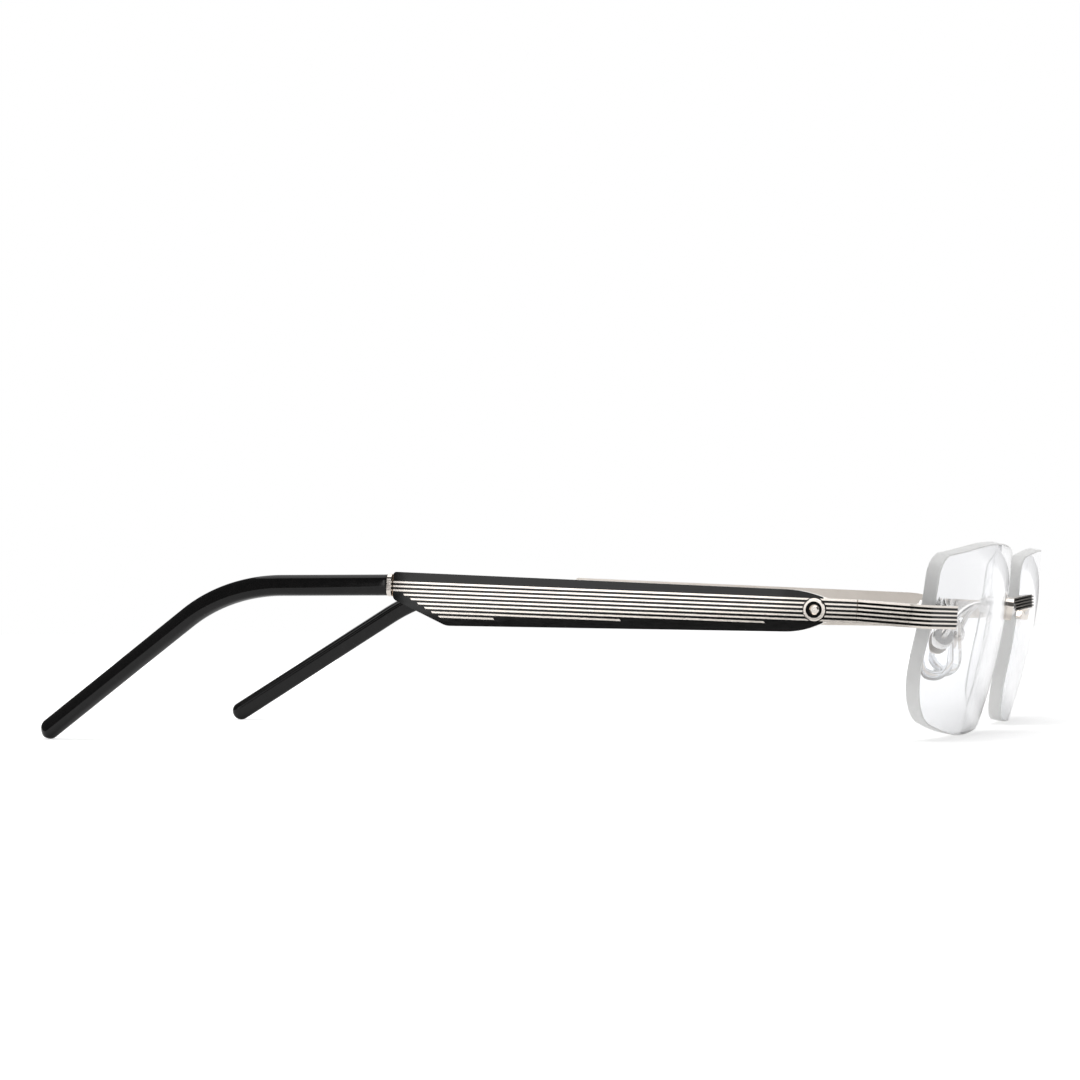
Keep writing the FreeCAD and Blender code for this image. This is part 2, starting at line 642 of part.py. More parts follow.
def line_corners(number):
    """One raised line of the temple: rear end, fan start and front end, as formulas with values."""
    rear_z = size("line_rear_first_z") - number * size("line_rear_pitch")
    rear_z_formula = "$line_rear_first_z - %d * $line_rear_pitch" % number
    front_z = size("line_first_z") - number * size("line_pitch")
    front_z_formula = "$line_first_z - %d * $line_pitch" % number
    rear_half, front_half = size("line_rear_width") / 2, size("line_width") / 2
    fan = ("$line_fan_y", size("line_fan_y"))
    fan_run = size("plate_rear_y") - size("line_fan_y")
    grade = (rear_z - front_z) / fan_run
    grade_formula = "((%s) - (%s)) / ($plate_rear_y - $line_fan_y)" % (rear_z_formula, front_z_formula)

    def at(along_formula, along):
        """Height of the line's middle at this distance from the hinge, and its half width."""
        share = (along - size("line_fan_y")) / fan_run
        middle = front_z + grade * (along - size("line_fan_y"))
        middle_formula = "%s + %s * (%s - $line_fan_y)" % (front_z_formula, grade_formula, along_formula)
        half = front_half + (rear_half - front_half) * share
        half_formula = "($line_width + ($line_rear_width - $line_width) * (%s - $line_fan_y)" \
            " / ($plate_rear_y - $line_fan_y)) / 2" % along_formula
        upper = ("%s + %s" % (middle_formula, half_formula), middle + half)
        lower = ("%s - %s" % (middle_formula, half_formula), middle - half)
        return upper, lower

    # The first lines reach the rear end; the others end in a slanted row.
    rear, rear_formula = size("plate_rear_y"), "$plate_rear_y"
    skew, skew_formula = 0.0, ""
    if number >= REAR_LINES:
        rear = size("line_end_y") - (number - REAR_LINES) * size("line_end_step")
        rear_formula = "$line_end_y - %d * $line_end_step" % (number - REAR_LINES)
        skew, skew_formula = size("line_end_slant"), " - $line_end_slant"
    upper, lower = at(rear_formula, rear)
    corners = [
        ((rear_formula, rear), upper),
        ((rear_formula + skew_formula, rear - skew), lower),
    ]
    if number < FRONT_LINES:
        start = ("$joint_gap", size("joint_gap"))
        top, bottom = at("$line_fan_y", size("line_fan_y"))
        return corners + [(fan, bottom), (start, bottom), (start, top), (fan, top)]
    alias = ("line_end_a", "line_end_b", "line_end_c")[number - FRONT_LINES]
    upper, lower = at("$" + alias, size(alias))
    slanted = ("$%s + $line_end_slant" % alias, size(alias) + size("line_end_slant"))
    return corners + [(("$" + alias, size(alias)), lower), (slanted, upper)]


def make_lines():
    """The raised lines, standing through the black field and cut short of the medallion."""
    start = Placement(Vector(-size("line_proud"), 0, 0), Rotation())
    lines = []
    for number in range(LINES):
        name = "temple_line_%d" % number
        body = new_body(name, temple_frame.multiply(start))
        outline = new_sketch(body, name + "_outline", "YZ_Plane")
        add_polygon(outline, line_corners(number))
        add_pad(body, outline, name + "_pad", "$line_proud + $enamel_depth")
        lines.append(body)
    border = badge_cylinder("medallion_border", "$badge_radius + $badge_border", "$enamel_depth * 4")
    return cut("temple_lines_cut", group("temple_lines", lines), border)


def badge_cylinder(name, radius, length):
    """A cylinder from the floor of the black field outwards, where the medallion sits."""
    seat = Placement(Vector(size("enamel_depth"), size("badge_y"), 0), turn(AXIS_Y, -90))
    return cylinder(name, radius, length, temple_frame.multiply(seat))


def revolved(name, frame, corners):
    """A turned piece: the outline lies in the XZ plane and turns about the z axis of the frame."""
    body = new_body(name, frame)
    profile = new_sketch(body, name + "_profile", "XZ_Plane")
    add_polygon(profile, corners)
    spin = body.newObject("PartDesign::Revolution", name + "_spin")
    spin.Profile = profile
    spin.ReferenceAxis = (profile, ["V_Axis"])
    spin.Angle = 360
    document.recompute()
    return body


def make_medallion():
    """The badge: a floor, a raised rim and a plain boss, with a black ring between them."""
    frame = temple_frame.multiply(
        Placement(Vector(size("enamel_depth"), size("badge_y"), 0), turn(AXIS_Y, -90))
    )
    floor = ("$enamel_depth - $badge_floor", size("enamel_depth") - size("badge_floor"))
    fill = (floor[0] + " + $badge_fill", floor[1] + size("badge_fill"))
    rim = ("$enamel_depth + $badge_rise", size("enamel_depth") + size("badge_rise"))
    lower_rim = ("$enamel_depth + $badge_shoulder_rise", size("enamel_depth") + size("badge_shoulder_rise"))
    boss = ("$enamel_depth + $badge_boss_rise", size("enamel_depth") + size("badge_boss_rise"))
    badge = revolved("right_medallion", frame, [
        (ZERO, ZERO),
        (cell("badge_radius"), ZERO),
        (cell("badge_radius"), lower_rim),
        (cell("badge_shoulder"), rim),
        (cell("badge_inner"), rim),
        (cell("badge_inner"), floor),
        (cell("badge_boss"), floor),
        (cell("badge_boss"), fill),
        (cell("badge_boss_top"), boss),
        (ZERO, boss),
    ])
    black = revolved("right_medallion_enamel", frame, [
        (cell("badge_boss"), floor),
        (cell("badge_inner"), floor),
        (cell("badge_inner"), fill),
        (cell("badge_boss"), fill),
    ])
    return badge, black


def make_temple():
    """The metal of arm and plate with its raised lines, and the black fill between them."""
    arm = [(cell(along), cell("strip_height", 0.5)) for along in ("joint_gap", "arm_end_y")]
    slab = temple_slab("temple_slab", arm, [below(corner) for corner in reversed(arm)], "$metal_thickness")
    narrow = [(cell(along), cell("field_arm_z")) for along in ("joint_gap", "field_end_y")]
    field = temple_slab(
        "temple_field",
        narrow + [shoulder("plate_crest_y", "plate_crest_z", 1)],
        [shoulder("plate_front_y", "plate_front_z", -1)] + [below(corner) for corner in reversed(narrow)],
        "$enamel_depth",
    )
    lines = make_lines()
    seat = badge_cylinder("medallion_seat", "$badge_radius + $badge_gap", "$enamel_depth * 4")
    enamel = cut("right_temple_enamel", cut("temple_black", field, lines), seat)
    recessed = cut("temple_recessed", slab, field)
    return cut("right_temple_plate", fuse("temple_ridged", [recessed, lines]), seat), enamel


# ---------------------------------------------------------------- hinge

def hinge_leaf(name, direction):
    """A leaf on the inner face, in front of (-1) or behind (+1) the hinge pin."""
    begin = size("leaf_clear") if direction > 0 else -size("leaf_reach")
    corner = Vector(size("metal_thickness"), begin, -size("hinge_height") / 2)
    lengths = ("$leaf_thickness", "$leaf_reach - $leaf_clear", "$hinge_height")
    return block(name, lengths, temple_frame.multiply(Placement(corner, Rotation())))


def knuckle(name, low, high_formula, direction):
    """One knuckle: a barrel round the pin and the web that joins it to its leaf."""
    axis = Placement(Vector(size("hinge_axis_x"), 0, low), Rotation())
    barrel = cylinder(name + "_barrel", "$knuckle_radius", high_formula, temple_frame.multiply(axis))
    begin = 0.0 if direction > 0 else -size("leaf_clear") - size("leaf_thickness")
    corner = Vector(size("metal_thickness"), begin, low)
    lengths = (
        "$hinge_axis_x - $metal_thickness",
        "$leaf_clear + $leaf_thickness",
        high_formula,
    )
    web = block(name + "_web", lengths, temple_frame.multiply(Placement(corner, Rotation())))
    return [barrel, web]


def make_hinge():
    half = size("hinge_height") / 2
    outer_low = size("knuckle_half") + size("knuckle_gap")
    outer_formula = "$hinge_height / 2 - $knuckle_half - $knuckle_gap"
    pin_line = temple_frame.multiply(Placement(Vector(size("hinge_axis_x"), 0, -half), Rotation()))
    front = [hinge_leaf("front_leaf", -1)]
    front += knuckle("front_knuckle_top", outer_low, outer_formula, -1)
    front += knuckle("front_knuckle_low", -half, outer_formula, -1)
    front_bore = cylinder("front_bore", "$pin_seat", "$hinge_height", pin_line)
    front_part = cut("right_front_hinge", fuse("front_hinge_solid", front), front_bore)

    rear = [hinge_leaf("rear_leaf", 1)]
    rear += knuckle("rear_knuckle", -size("knuckle_half"), "$knuckle_half * 2", 1)
    rear_bore = cylinder("rear_bore", "$pin_bore", "$hinge_height", pin_line)
    rear_part = cut("right_temple_hinge", fuse("rear_hinge_solid", rear), rear_bore)

    head_line = temple_frame.multiply(Placement(Vector(size("hinge_axis_x"), 0, half), Rotation()))
    shank = cylinder("hinge_screw_shank", "$pin_radius", "$hinge_height", pin_line)
    head = cylinder("hinge_screw_head", "$pin_head_radius", "$pin_head", head_line)
    slot = screw_slot("hinge_screw_slot", head_line, size("pin_head"))
    screw = cut("right_hinge_screw", fuse("hinge_screw_solid", [shank, head]), slot)
    return front_part, rear_part, screw


def screw_slot(name, head_frame, top):
    """A slot across a screw head that ends this far above the head's frame."""
    corner = Vector(-size("slot_reach"), -size("slot_width") / 2, top - size("slot_depth"))
    lengths = ("$slot_reach * 2", "$slot_width", "$slot_depth * 2")
    return block(name, lengths, head_frame.multiply(Placement(corner, Rotation())))


# ---------------------------------------------------------------- tip sleeve

def sleeve_path():
    """Middle line of the sleeve in the temple frame: start, corner and end of the drop."""
    middle = size("metal_thickness") / 2
    begin = Vector(middle, size("plate_rear_y") + 2 * size("collar_gap") + size("collar_length"),
                   size("sleeve_start_z"))
    corner = Vector(middle, size("bend_y"), size("bend_z"))
    toe, fall = math.radians(size("drop_toe_in")), math.radians(size("drop_angle"))
    drop = Vector(
        math.sin(toe) * math.cos(fall),
        math.cos(toe) * math.cos(fall),
        -math.sin(fall),
    )
    return begin, corner, corner.add(drop * size("drop_length"))


def path_wire(begin, corner, end, radius):
    """Straight, tangent arc, straight."""
    before = begin.sub(corner).normalize()
    after = end.sub(corner).normalize()
    half_turn = (math.pi - before.getAngle(after)) / 2
    tangent = radius * math.tan(half_turn)
    start = corner.add(before * tangent)
    finish = corner.add(after * tangent)
    bisector = before.add(after).normalize()
    center = corner.add(bisector * (radius / math.cos(half_turn)))
    middle = center.sub(bisector * radius)
    return Part.Wire([
        Part.LineSegment(begin, start).toShape(),
        Part.Arc(start, middle, finish).toShape(),
        Part.LineSegment(finish, end).toShape(),
    ])


def wire_point(wire, distance):
    """Point and direction at a distance along a wire."""
    for edge in wire.Edges:
        if distance <= edge.Length or edge.isSame(wire.Edges[-1]):
            step = edge.getParameterByLength(min(distance, edge.Length))
            return edge.valueAt(step), edge.tangentAt(step)
        distance -= edge.Length
    raise ValueError("empty wire")


def oval(point, direction, twist, width, height):
    """An elliptical section across a direction; its long axis stands up before the twist."""
    frame = Rotation(Vector(0, 0, 0), direction, AXIS_Z, "YZX")
    frame = frame.multiply(turn(AXIS_Y, twist))
    tall = frame.multVec(AXIS_Z)
    wide = frame.multVec(AXIS_X)
    if height >= width:
        curve = Part.Ellipse(point.add(tall * (height / 2)), point.add(wide * (width / 2)), point)
    else:
        curve = Part.Ellipse(point.add(wide * (width / 2)), point.add(tall * (height / 2)), point)
    return Part.Wire([curve.toShape()])


def make_sleeve():
    """The sleeve is lofted along its path, twists a little and ends in a round tip."""
    begin, corner, end = sleeve_path()
    wire = path_wire(begin, corner, end, size("bend_radius"))
    length = wire.Length
    twisted = wire.Edges[0].Length + wire.Edges[1].Length
    sections = []
    for station in range(SLEEVE_STATIONS + 1):
        distance = length * station / SLEEVE_STATIONS
        point, direction = wire_point(wire, distance)
        share = min(1.0, distance / twisted)
        sections.append(oval(
            point, direction, size("drop_twist") * share, size("sleeve_width"), size("sleeve_height")
        ))
    shaft = Part.makeLoft(sections, True, False)
    point, direction = wire_point(wire, length)
    # The round tip is half an ellipsoid on the last section.
    tip = Part.makeSphere(1.0, Vector(), AXIS_Z, 0, 90, 360)
    scale = FreeCAD.Matrix()
    scale.scale(size("sleeve_width") / 2, size("sleeve_height") / 2, size("sleeve_height") / 2)
    tip = tip.transformGeometry(scale)
    frame = Rotation(Vector(0, 0, 0), direction, AXIS_Z, "YZX").multiply(turn(AXIS_Y, size("drop_twist")))
    tip.Placement = Placement(point, frame.multiply(turn(AXIS_X, -90)))
    whole = shaft.fuse(tip).removeSplitter()
    reach = length * size("core_share")
    rear = Vector(
        size("metal_thickness") / 2, size("plate_rear_y") + size("core_gap"), size("sleeve_start_z")
    )
    stop, _ = wire_point(wire, reach)
    core = path_wire(rear, corner, stop, size("bend_radius"))
    bore = pipe(core, size("core_bore"))
    strand = pipe(core, size("core_radius"))
    return whole.cut(bore), strand


def pipe(wire, radius):
    """A round bar along a wire."""
    point, direction = wire_point(wire, 0.0)
    ring = Part.Wire([Part.Circle(point, direction, radius).toShape()])
    return wire.makePipeShell([ring], True, False)


def computed(name, shape, frame):
    """A piece whose shape is worked out above from the sheet's numbers."""
    item = document.addObject("Part::Feature", name)
    item.Shape = shape
    item.Placement = frame
    return item


def make_collar():
    """The silver ring between plate and sleeve."""
    body = new_body("collar_solid", temple_frame.multiply(Placement(
        Vector(size("metal_thickness") / 2, size("plate_rear_y") + size("collar_gap"), size("sleeve_start_z")),
        turn(AXIS_X, -90),
    )))
    outline = new_sketch(body, "collar_outline", "XY_Plane")
    half_wide, half_tall = cell("collar_width", 0.5), cell("collar_height", 0.5)
    low_wide, low_tall = cell("collar_width", -0.5), cell("collar_height", -0.5)
    add_polygon(outline, [
        (low_wide, low_tall),
        (half_wide, low_tall),
        (half_wide, half_tall),
        (low_wide, half_tall),
    ])
    add_pad(body, outline, "collar_pad", "$collar_length")
    corners = [
        Vector(across[1], up[1], 0)
        for across in (low_wide, half_wide)
        for up in (low_tall, half_tall)
    ]
    round_corners(body, "collar_round", AXIS_Z, corners, "collar_round_radius")
    bore = cylinder("collar_hole", "$collar_bore", "$collar_length", body.Placement)
    return cut("right_collar_ring", body, bore)


# ---------------------------------------------------------------- bridge

def bow(name, thickness):
    """The bow of the bridge in plan: a band between two arcs, standing at full height."""
    half, sag = size("bridge_end_x"), size("bridge_end_y") - size("bridge_apex_y")
    radius = (half ** 2 + sag ** 2) / (2 * sag)
    outer_formula = "($bridge_end_x ^ 2 + ($bridge_end_y - $bridge_apex_y) ^ 2)" \
        " / (2 * ($bridge_end_y - $bridge_apex_y))"
    center = Placement(
        Vector(0, size("front_y") + size("bridge_apex_y") + radius, size("bridge_blank_z")), Rotation()
    )
    outer = cylinder(name + "_outer", outer_formula, "$lens_block", center)
    inner = cylinder(name + "_inner", outer_formula + " - " + thickness, "$lens_block", center)
    return cut(name, outer, inner)


def arch(name, offset, height):
    """A band that arches in front view; offset is its middle above the bridge's middle line."""
    half, rise = size("bridge_end_x"), size("bridge_apex_z") - size("bridge_end_z")
    radius = (half ** 2 + rise ** 2) / (2 * rise)
    radius_formula = "($bridge_end_x ^ 2 + ($bridge_apex_z - $bridge_end_z) ^ 2)" \
        " / (2 * ($bridge_apex_z - $bridge_end_z))"
    center = Placement(
        Vector(0, size("front_y") + size("lens_block") / 2, size("bridge_apex_z") - radius),
        turn(AXIS_X, 90),
    )
    middle = radius_formula + " + " + offset
    outer = cylinder(name + "_outer", "%s + %s / 2" % (middle, height), "$lens_block", center)
    inner = cylinder(name + "_inner", "%s - %s / 2" % (middle, height), "$lens_block", center)
    return cut(name, outer, inner)


def make_foot():
    """The flat foot of the bridge on the right lens, trimmed to the lens."""
    body = new_body("foot_body", nose_mount)
    outline = new_sketch(body, "foot_outline", "XZ_Plane")
    low, high = cell("foot_height", -0.5), cell("foot_height", 0.5)
    outer, inner = cell("foot_outer", -1.0), cell("foot_inner")
    add_polygon(outline, [(outer, low), (inner, low), (inner, high), (outer, high)])
    add_pad(body, outline, "foot_pad", "$foot_thickness")
    corners = [Vector(across[1], 0, up[1]) for across in (outer, inner) for up in (low, high)]
    round_corners(body, "foot_round_corners", AXIS_Y, corners[:2], "foot_round")
    round_corners(body, "foot_inner_corners", AXIS_Y, corners[2:], "foot_inner_round")
    trimmed = cut("foot_trimmed", body, lens_ball("foot_trim_ball", "fit_gap"))
    hole = cylinder("foot_hole", "$bushing_inner", "$drill_length", through(nose_mount, -size("drill_length") / 2))
    return cut("right_foot", trimmed, hole)


def make_bridge():
    reach = block(
        "bridge_reach",
        ("$bridge_reach_x * 2", "$lens_block", "$lens_block"),
        Placement(Vector(-size("bridge_reach_x"), size("front_y") - size("lens_block") / 2, 0), Rotation()),
    )
    metal_height = "$bridge_pitch * %d + $bridge_line" % BRIDGE_GROOVES
    strip = common("bridge_strip", [
        bow("bridge_bow", "$bridge_thickness"),
        arch("bridge_arch", "0", "(%s)" % metal_height),
        reach,
    ])
    grooves = [
        arch(
            "bridge_groove_%d" % number,
            "$bridge_pitch * %r" % (number - (BRIDGE_GROOVES - 1) / 2),
            "($bridge_pitch - $bridge_line)",
        )
        for number in range(BRIDGE_GROOVES)
    ]
    right_foot = make_foot()
    left_foot = mirror("left_foot", right_foot)
    feet = [right_foot, left_foot]
    black = common("bridge_black", [
        bow("bridge_skin", "$enamel_depth"),
        group("bridge_grooves", grooves),
        reach,
    ])
    enamel = cut("bridge_enamel", black, group("bridge_feet", feet))
    body = cut("bridge_grooved", strip, enamel)
    ball = lens_ball("bridge_trim_ball", "fit_gap")
    right_clear = cut("bridge_right_cleared", body, ball)
    clear = cut("bridge_cleared", right_clear, mirror("left_bridge_trim_ball", ball))
    return fuse("bridge", [clear] + feet), enamel


def make_bridge_screw():
    shank = cylinder(
        "bridge_screw_shank",
        "$stud_radius",
        "$foot_thickness + $stud_end",
        through(nose_mount, -size("foot_thickness")),
    )
    seat = through(nose_mount, -size("foot_thickness") - size("head_height"))
    blank = cylinder("bridge_screw_blank", "$head_radius", "$head_height", seat)
    dome = sphere(
        "bridge_screw_dome",
        "$head_dome",
        through(nose_mount, -size("foot_thickness") - size("head_height") + size("head_dome")),
    )
    head = common("bridge_screw_head", [blank, dome])
    slot_frame = seat.multiply(Placement(ORIGIN, turn(AXIS_X, 180)))
    slot = screw_slot("bridge_screw_slot", slot_frame, 0.0)
    return cut("right_bridge_screw", fuse("bridge_screw_solid", [shank, head]), slot)


# ---------------------------------------------------------------- lens hardware

def make_nut(name, mount, start):
    frame = through(mount, start)
    body = document.addObject("Part::Prism", name + "_blank")
    body.Polygon = 6
    bind(body, "Circumradius", "$nut_circumradius")
    bind(body, "Height", "$nut_thickness")
    body.Placement = frame
    bore = cylinder(name + "_bore", "$bushing_inner", "$nut_thickness", frame)
    return cut(name, body, bore)


def make_washer(name, mount):
    return tube(name, "$washer_radius", "$bushing_inner", "$washer_thickness",
                through(mount, size("washer_start")))


def make_bushing(name, mount):
    return tube(name, "$bushing_outer", "$bushing_inner", "$bushing_length",
                through(mount, size("bushing_start")))


# ---------------------------------------------------------------- nose pad

def pad_point(reach):
    """A point this far outside the middle of the pad, on the axis of its box."""
    return pad_frame.multVec(Vector(-reach, 0, 0))


def make_pad_arm(foot_start):
    """The wire from the bridge mount to the pad box, with its round foot."""
    foot = Part.makeCylinder(size("arm_foot_radius"), size("arm_foot_thickness"))
    foot.Placement = through(nose_mount, foot_start)
    back = nose_mount.Rotation.multVec(AXIS_Y)
    side = nose_mount.Rotation.multVec(AXIS_X)
    start = nose_mount.multVec(Vector(size("wire_start"), foot_start + size("wire_radius"), 0))
    out = pad_frame.Rotation.multVec(Vector(-1, 0, 0))
    end = pad_point(size("ball_reach") + size("box_back") - size("box_floor") / 2)
    curve = Part.BezierCurve()
    curve.setPoles([
        start,
        start.add(side * size("wire_side")),
        start.add(side * size("wire_side")).add(back * size("wire_back")).add(Vector(0, 0, size("wire_lift"))),
        end.add(out * size("wire_entry")),
        end,
    ])
    wire = pipe(Part.Wire([curve.toShape()]), size("wire_radius"))
    hole = Part.makeCylinder(size("bushing_inner"), size("drill_length"))
    hole.Placement = through(nose_mount, 0)
    inside = Part.makeCylinder(size("box_radius"), size("box_front") + size("box_back"))
    inside.Placement = box_frame()
    return foot.fuse(wire).cut(hole).cut(inside)


def box_frame():
    """Outer end of the pad box; its z axis points at the pad."""
    point = pad_point(size("ball_reach") + size("box_back"))
    return Placement(point, pad_frame.Rotation.multiply(turn(AXIS_Y, 90)))


def make_pad_box():
    solid = cylinder("pad_box_solid", "$box_radius", "$box_front + $box_back", box_frame())
    document.recompute()
    rounded = document.addObject("Part::Fillet", "pad_box_rounded")
    rounded.Base = solid
    rim = [number for number, edge in enumerate(solid.Shape.Edges, start=1)
           if edge.Curve.TypeId == "Part::GeomCircle"]
    radius = size("box_round")
    rounded.Edges = [(number, radius, radius) for number in rim]
    hollow = cylinder(
        "pad_box_hollow",
        "$box_bore",
        "$box_front + $box_back",
        box_frame().multiply(Placement(Vector(0, 0, size("box_floor")), Rotation())),
    )
    pin_hole = pin_cylinder("pad_box_pin_hole", "$pad_pin_radius")
    return cut("right_pad_box", cut("pad_box_cup", rounded, hollow), pin_hole)


def pin_cylinder(name, radius):
    """A cylinder along the pad's length through the ball, as long as the box is wide."""
    frame = pad_frame.multiply(
        Placement(Vector(-size("ball_reach"), 0, -size("box_radius") + size("box_round")), Rotation())
    )
    return cylinder(name, radius, "2 * ($box_radius - $box_round)", frame)


def make_pad():
    """Clear pad: an egg outline between two round ends, padded and rounded, hollow for its insert."""
    body = new_body("pad_body", pad_frame.multiply(Placement(Vector(-size("pad_thickness") / 2, 0, 0), Rotation())))
    outline = new_sketch(body, "pad_outline", "YZ_Plane")
    big, small, length = size("pad_big"), size("pad_small"), size("pad_length")
    lean = math.asin((big - small) / length)
    low, high = Vector(0, -length / 2, 0), Vector(0, length / 2, 0)
    side = Vector(math.cos(lean), math.sin(lean), 0)
    other = Vector(-side.x, side.y, 0)
    lower = outline.addGeometry(Part.ArcOfCircle(
        Part.Circle(low, AXIS_Z, big), math.pi - lean, 2 * math.pi + lean), False)
    upper = outline.addGeometry(Part.ArcOfCircle(
        Part.Circle(high, AXIS_Z, small), lean, math.pi - lean), False)
    right = outline.addGeometry(Part.LineSegment(low.add(side * big), high.add(side * small)), False)
    left = outline.addGeometry(Part.LineSegment(high.add(other * small), low.add(other * big)), False)
    for first, start, second, finish in (
        (lower, 2, right, 1), (right, 2, upper, 1), (upper, 2, left, 1), (left, 2, lower, 1)
    ):
        outline.addConstraint(Sketcher.Constraint("Tangent", first, start, second, finish))
    for center in (lower, upper):
        outline.addConstraint(Sketcher.Constraint("PointOnObject", center, 3, -2))
    for item, alias, value in ((lower, "pad_big", big), (upper, "pad_small", small)):
        index = outline.addConstraint(Sketcher.Constraint("Radius", item, value))
        bind(outline, "Constraints[%d]" % index, "$" + alias)
    for item, formula, value in ((lower, "-$pad_length / 2", -length / 2), (upper, "$pad_length / 2", length / 2)):
        index = outline.addConstraint(Sketcher.Constraint("DistanceY", -1, 1, item, 3, value))
        bind(outline, "Constraints[%d]" % index, formula)
    add_pad(body, outline, "pad_pad", "$pad_thickness")
    solid = body.Tip
    flat = [
        "Edge%d" % number
        for number, edge in enumerate(solid.Shape.Edges, start=1)
        if abs(edge.Vertexes[0].Point.x - edge.Vertexes[-1].Point.x) < 1e-6
    ]
    fillet = body.newObject("PartDesign::Fillet", "pad_soft_edges")
    fillet.Base = (solid, flat)
    bind(fillet, "Radius", "$pad_round")
    document.recompute()

    insert_frame = pad_frame.multiply(Placement(
        Vector(size("insert_thickness") / 2, 0, 0), turn(AXIS_Y, -90)
    ))
    plate = cylinder("pad_insert_plate", "$insert_radius", "$insert_thickness", insert_frame)
    stem = cylinder("pad_insert_stem", "$stem_radius", "$ball_reach", insert_frame)
    ball = sphere("pad_insert_ball", "$ball_radius",
                  pad_frame.multiply(Placement(Vector(-size("ball_reach"), 0, 0), Rotation())))
    solid = fuse("pad_insert_solid", [plate, stem, ball])
    mount = cut("right_pad_mount", solid, pin_cylinder("pad_ball_bore", "$pad_pin_bore"))
    pad = cut("right_nose_pad", body, group("pad_cavity", [
        cylinder("pad_cavity_plate", "$insert_radius", "$insert_thickness", insert_frame),
        cylinder("pad_cavity_stem", "$stem_radius", "$ball_reach", insert_frame),
    ]))
    pin = pin_cylinder("right_pad_pin", "$pad_pin_radius")
    return pad, mount, pin


# ---------------------------------------------------------------- assembly

def assemble():
    """All right-hand pieces, the shared pieces, and the mirror images of the right-hand ones."""
    rights = {}
    rights["lens"] = make_lens()
    rights["endpiece"], rights["endpiece_enamel"] = make_endpiece()
    plate, rights["temple_enamel"] = make_temple()
    rights["medallion"], rights["medallion_enamel"] = make_medallion()
    rights["front_hinge"], rights["temple_hinge"], rights["hinge_screw"] = make_hinge()
    rights["collar_ring"] = make_collar()
    sleeve, core = make_sleeve()
    rights["tip_sleeve"] = computed("right_tip_sleeve", sleeve, temple_frame)
    rights["temple_core"] = computed("right_temple_core", core, temple_frame)
    arm_foot_start = size("washer_start") + size("washer_thickness") + size("seat_gap")
    rights["pad_arm"] = computed("right_pad_arm", make_pad_arm(arm_foot_start), Placement())
    rights["pad_box"] = make_pad_box()
    rights["nose_pad"], rights["pad_mount"], rights["pad_pin"] = make_pad()
    plate.Label = "right_temple_plate"
    rights["temple_plate"] = plate

    washers = [make_washer("nose_washer", nose_mount), make_washer("temple_washer", temple_mount)]
    bushings = [make_bushing("nose_bushing", nose_mount), make_bushing("temple_bushing", temple_mount)]
    nut_start = arm_foot_start + size("arm_foot_thickness") + size("seat_gap")
    shared = {
        "bridge_screws": [make_bridge_screw()],
        "bridge_nuts": [make_nut("nose_nut", nose_mount, nut_start)],
        "endpiece_nuts": [make_nut("temple_nut", temple_mount, arm_foot_start)],
        "lens_washers": washers,
        "lens_bushings": bushings,
    }
    nodes = {}
    nodes["bridge"], nodes["bridge_enamel"] = make_bridge()
    for name, pieces in shared.items():
        images = [mirror(name + "_mirror_%d" % index, piece) for index, piece in enumerate(pieces)]
        nodes[name] = group(name, pieces + images)
    for name, piece in rights.items():
        piece.Label = "right_" + name
        nodes["right_" + name] = piece
        nodes["left_" + name] = mirror("left_" + name, piece)
    for name, piece in nodes.items():
        piece.Label = name
    document.recompute()
    return nodes


def check_document():
    """Stop when any object failed, before anything is written."""
    for item in document.Objects:
        if "Invalid" in item.State or "Error" in item.State:
            raise ValueError("%s is %s" % (item.Label, item.State))


def export(nodes):
    """Check every sub-part and write its solids."""
    for name, piece in nodes.items():
        shape = piece.Shape
        if shape.isNull() or not shape.isValid() or not shape.Solids:
            raise ValueError("%s has no valid solid" % name)
    os.makedirs("parts", exist_ok=True)
    low = Vector(1e9, 1e9, 1e9)
    high = Vector(-1e9, -1e9, -1e9)
    for name, piece in sorted(nodes.items()):
        shape = piece.Shape
        shape.exportStep("parts/%s.step" % name)
        box = shape.optimalBoundingBox(False)
        low = Vector(min(low.x, box.XMin), min(low.y, box.YMin), min(low.z, box.ZMin))
        high = Vector(max(high.x, box.XMax), max(high.y, box.YMax), max(high.z, box.ZMax))
        print("%-24s %2d solids %9.3f mm3" % (name, len(shape.Solids), shape.Volume))
    print("box", low, high)


parts = assemble()
check_document()
export(parts)
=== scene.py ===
import math

import bmesh
import bpy
from mathutils import Matrix, Vector
from mathutils.geometry import delaunay_2d_cdt


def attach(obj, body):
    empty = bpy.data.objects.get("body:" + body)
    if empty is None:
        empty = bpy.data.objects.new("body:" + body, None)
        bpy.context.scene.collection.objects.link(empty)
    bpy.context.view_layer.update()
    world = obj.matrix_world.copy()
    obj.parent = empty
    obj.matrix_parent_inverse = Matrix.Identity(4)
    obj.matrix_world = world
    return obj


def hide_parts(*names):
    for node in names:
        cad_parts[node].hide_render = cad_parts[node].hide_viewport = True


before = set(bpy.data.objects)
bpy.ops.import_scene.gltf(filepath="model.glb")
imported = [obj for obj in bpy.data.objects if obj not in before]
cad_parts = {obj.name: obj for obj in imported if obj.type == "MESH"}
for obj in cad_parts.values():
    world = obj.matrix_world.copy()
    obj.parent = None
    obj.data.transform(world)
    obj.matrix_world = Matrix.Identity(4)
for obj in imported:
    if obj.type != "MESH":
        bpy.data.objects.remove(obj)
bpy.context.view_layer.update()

# Lengths below are millimetres; every mesh is made in metres.
MM = 0.001
SIDES = ("right", "left")


# ---------------------------------------------------------------- places shared with the CAD model

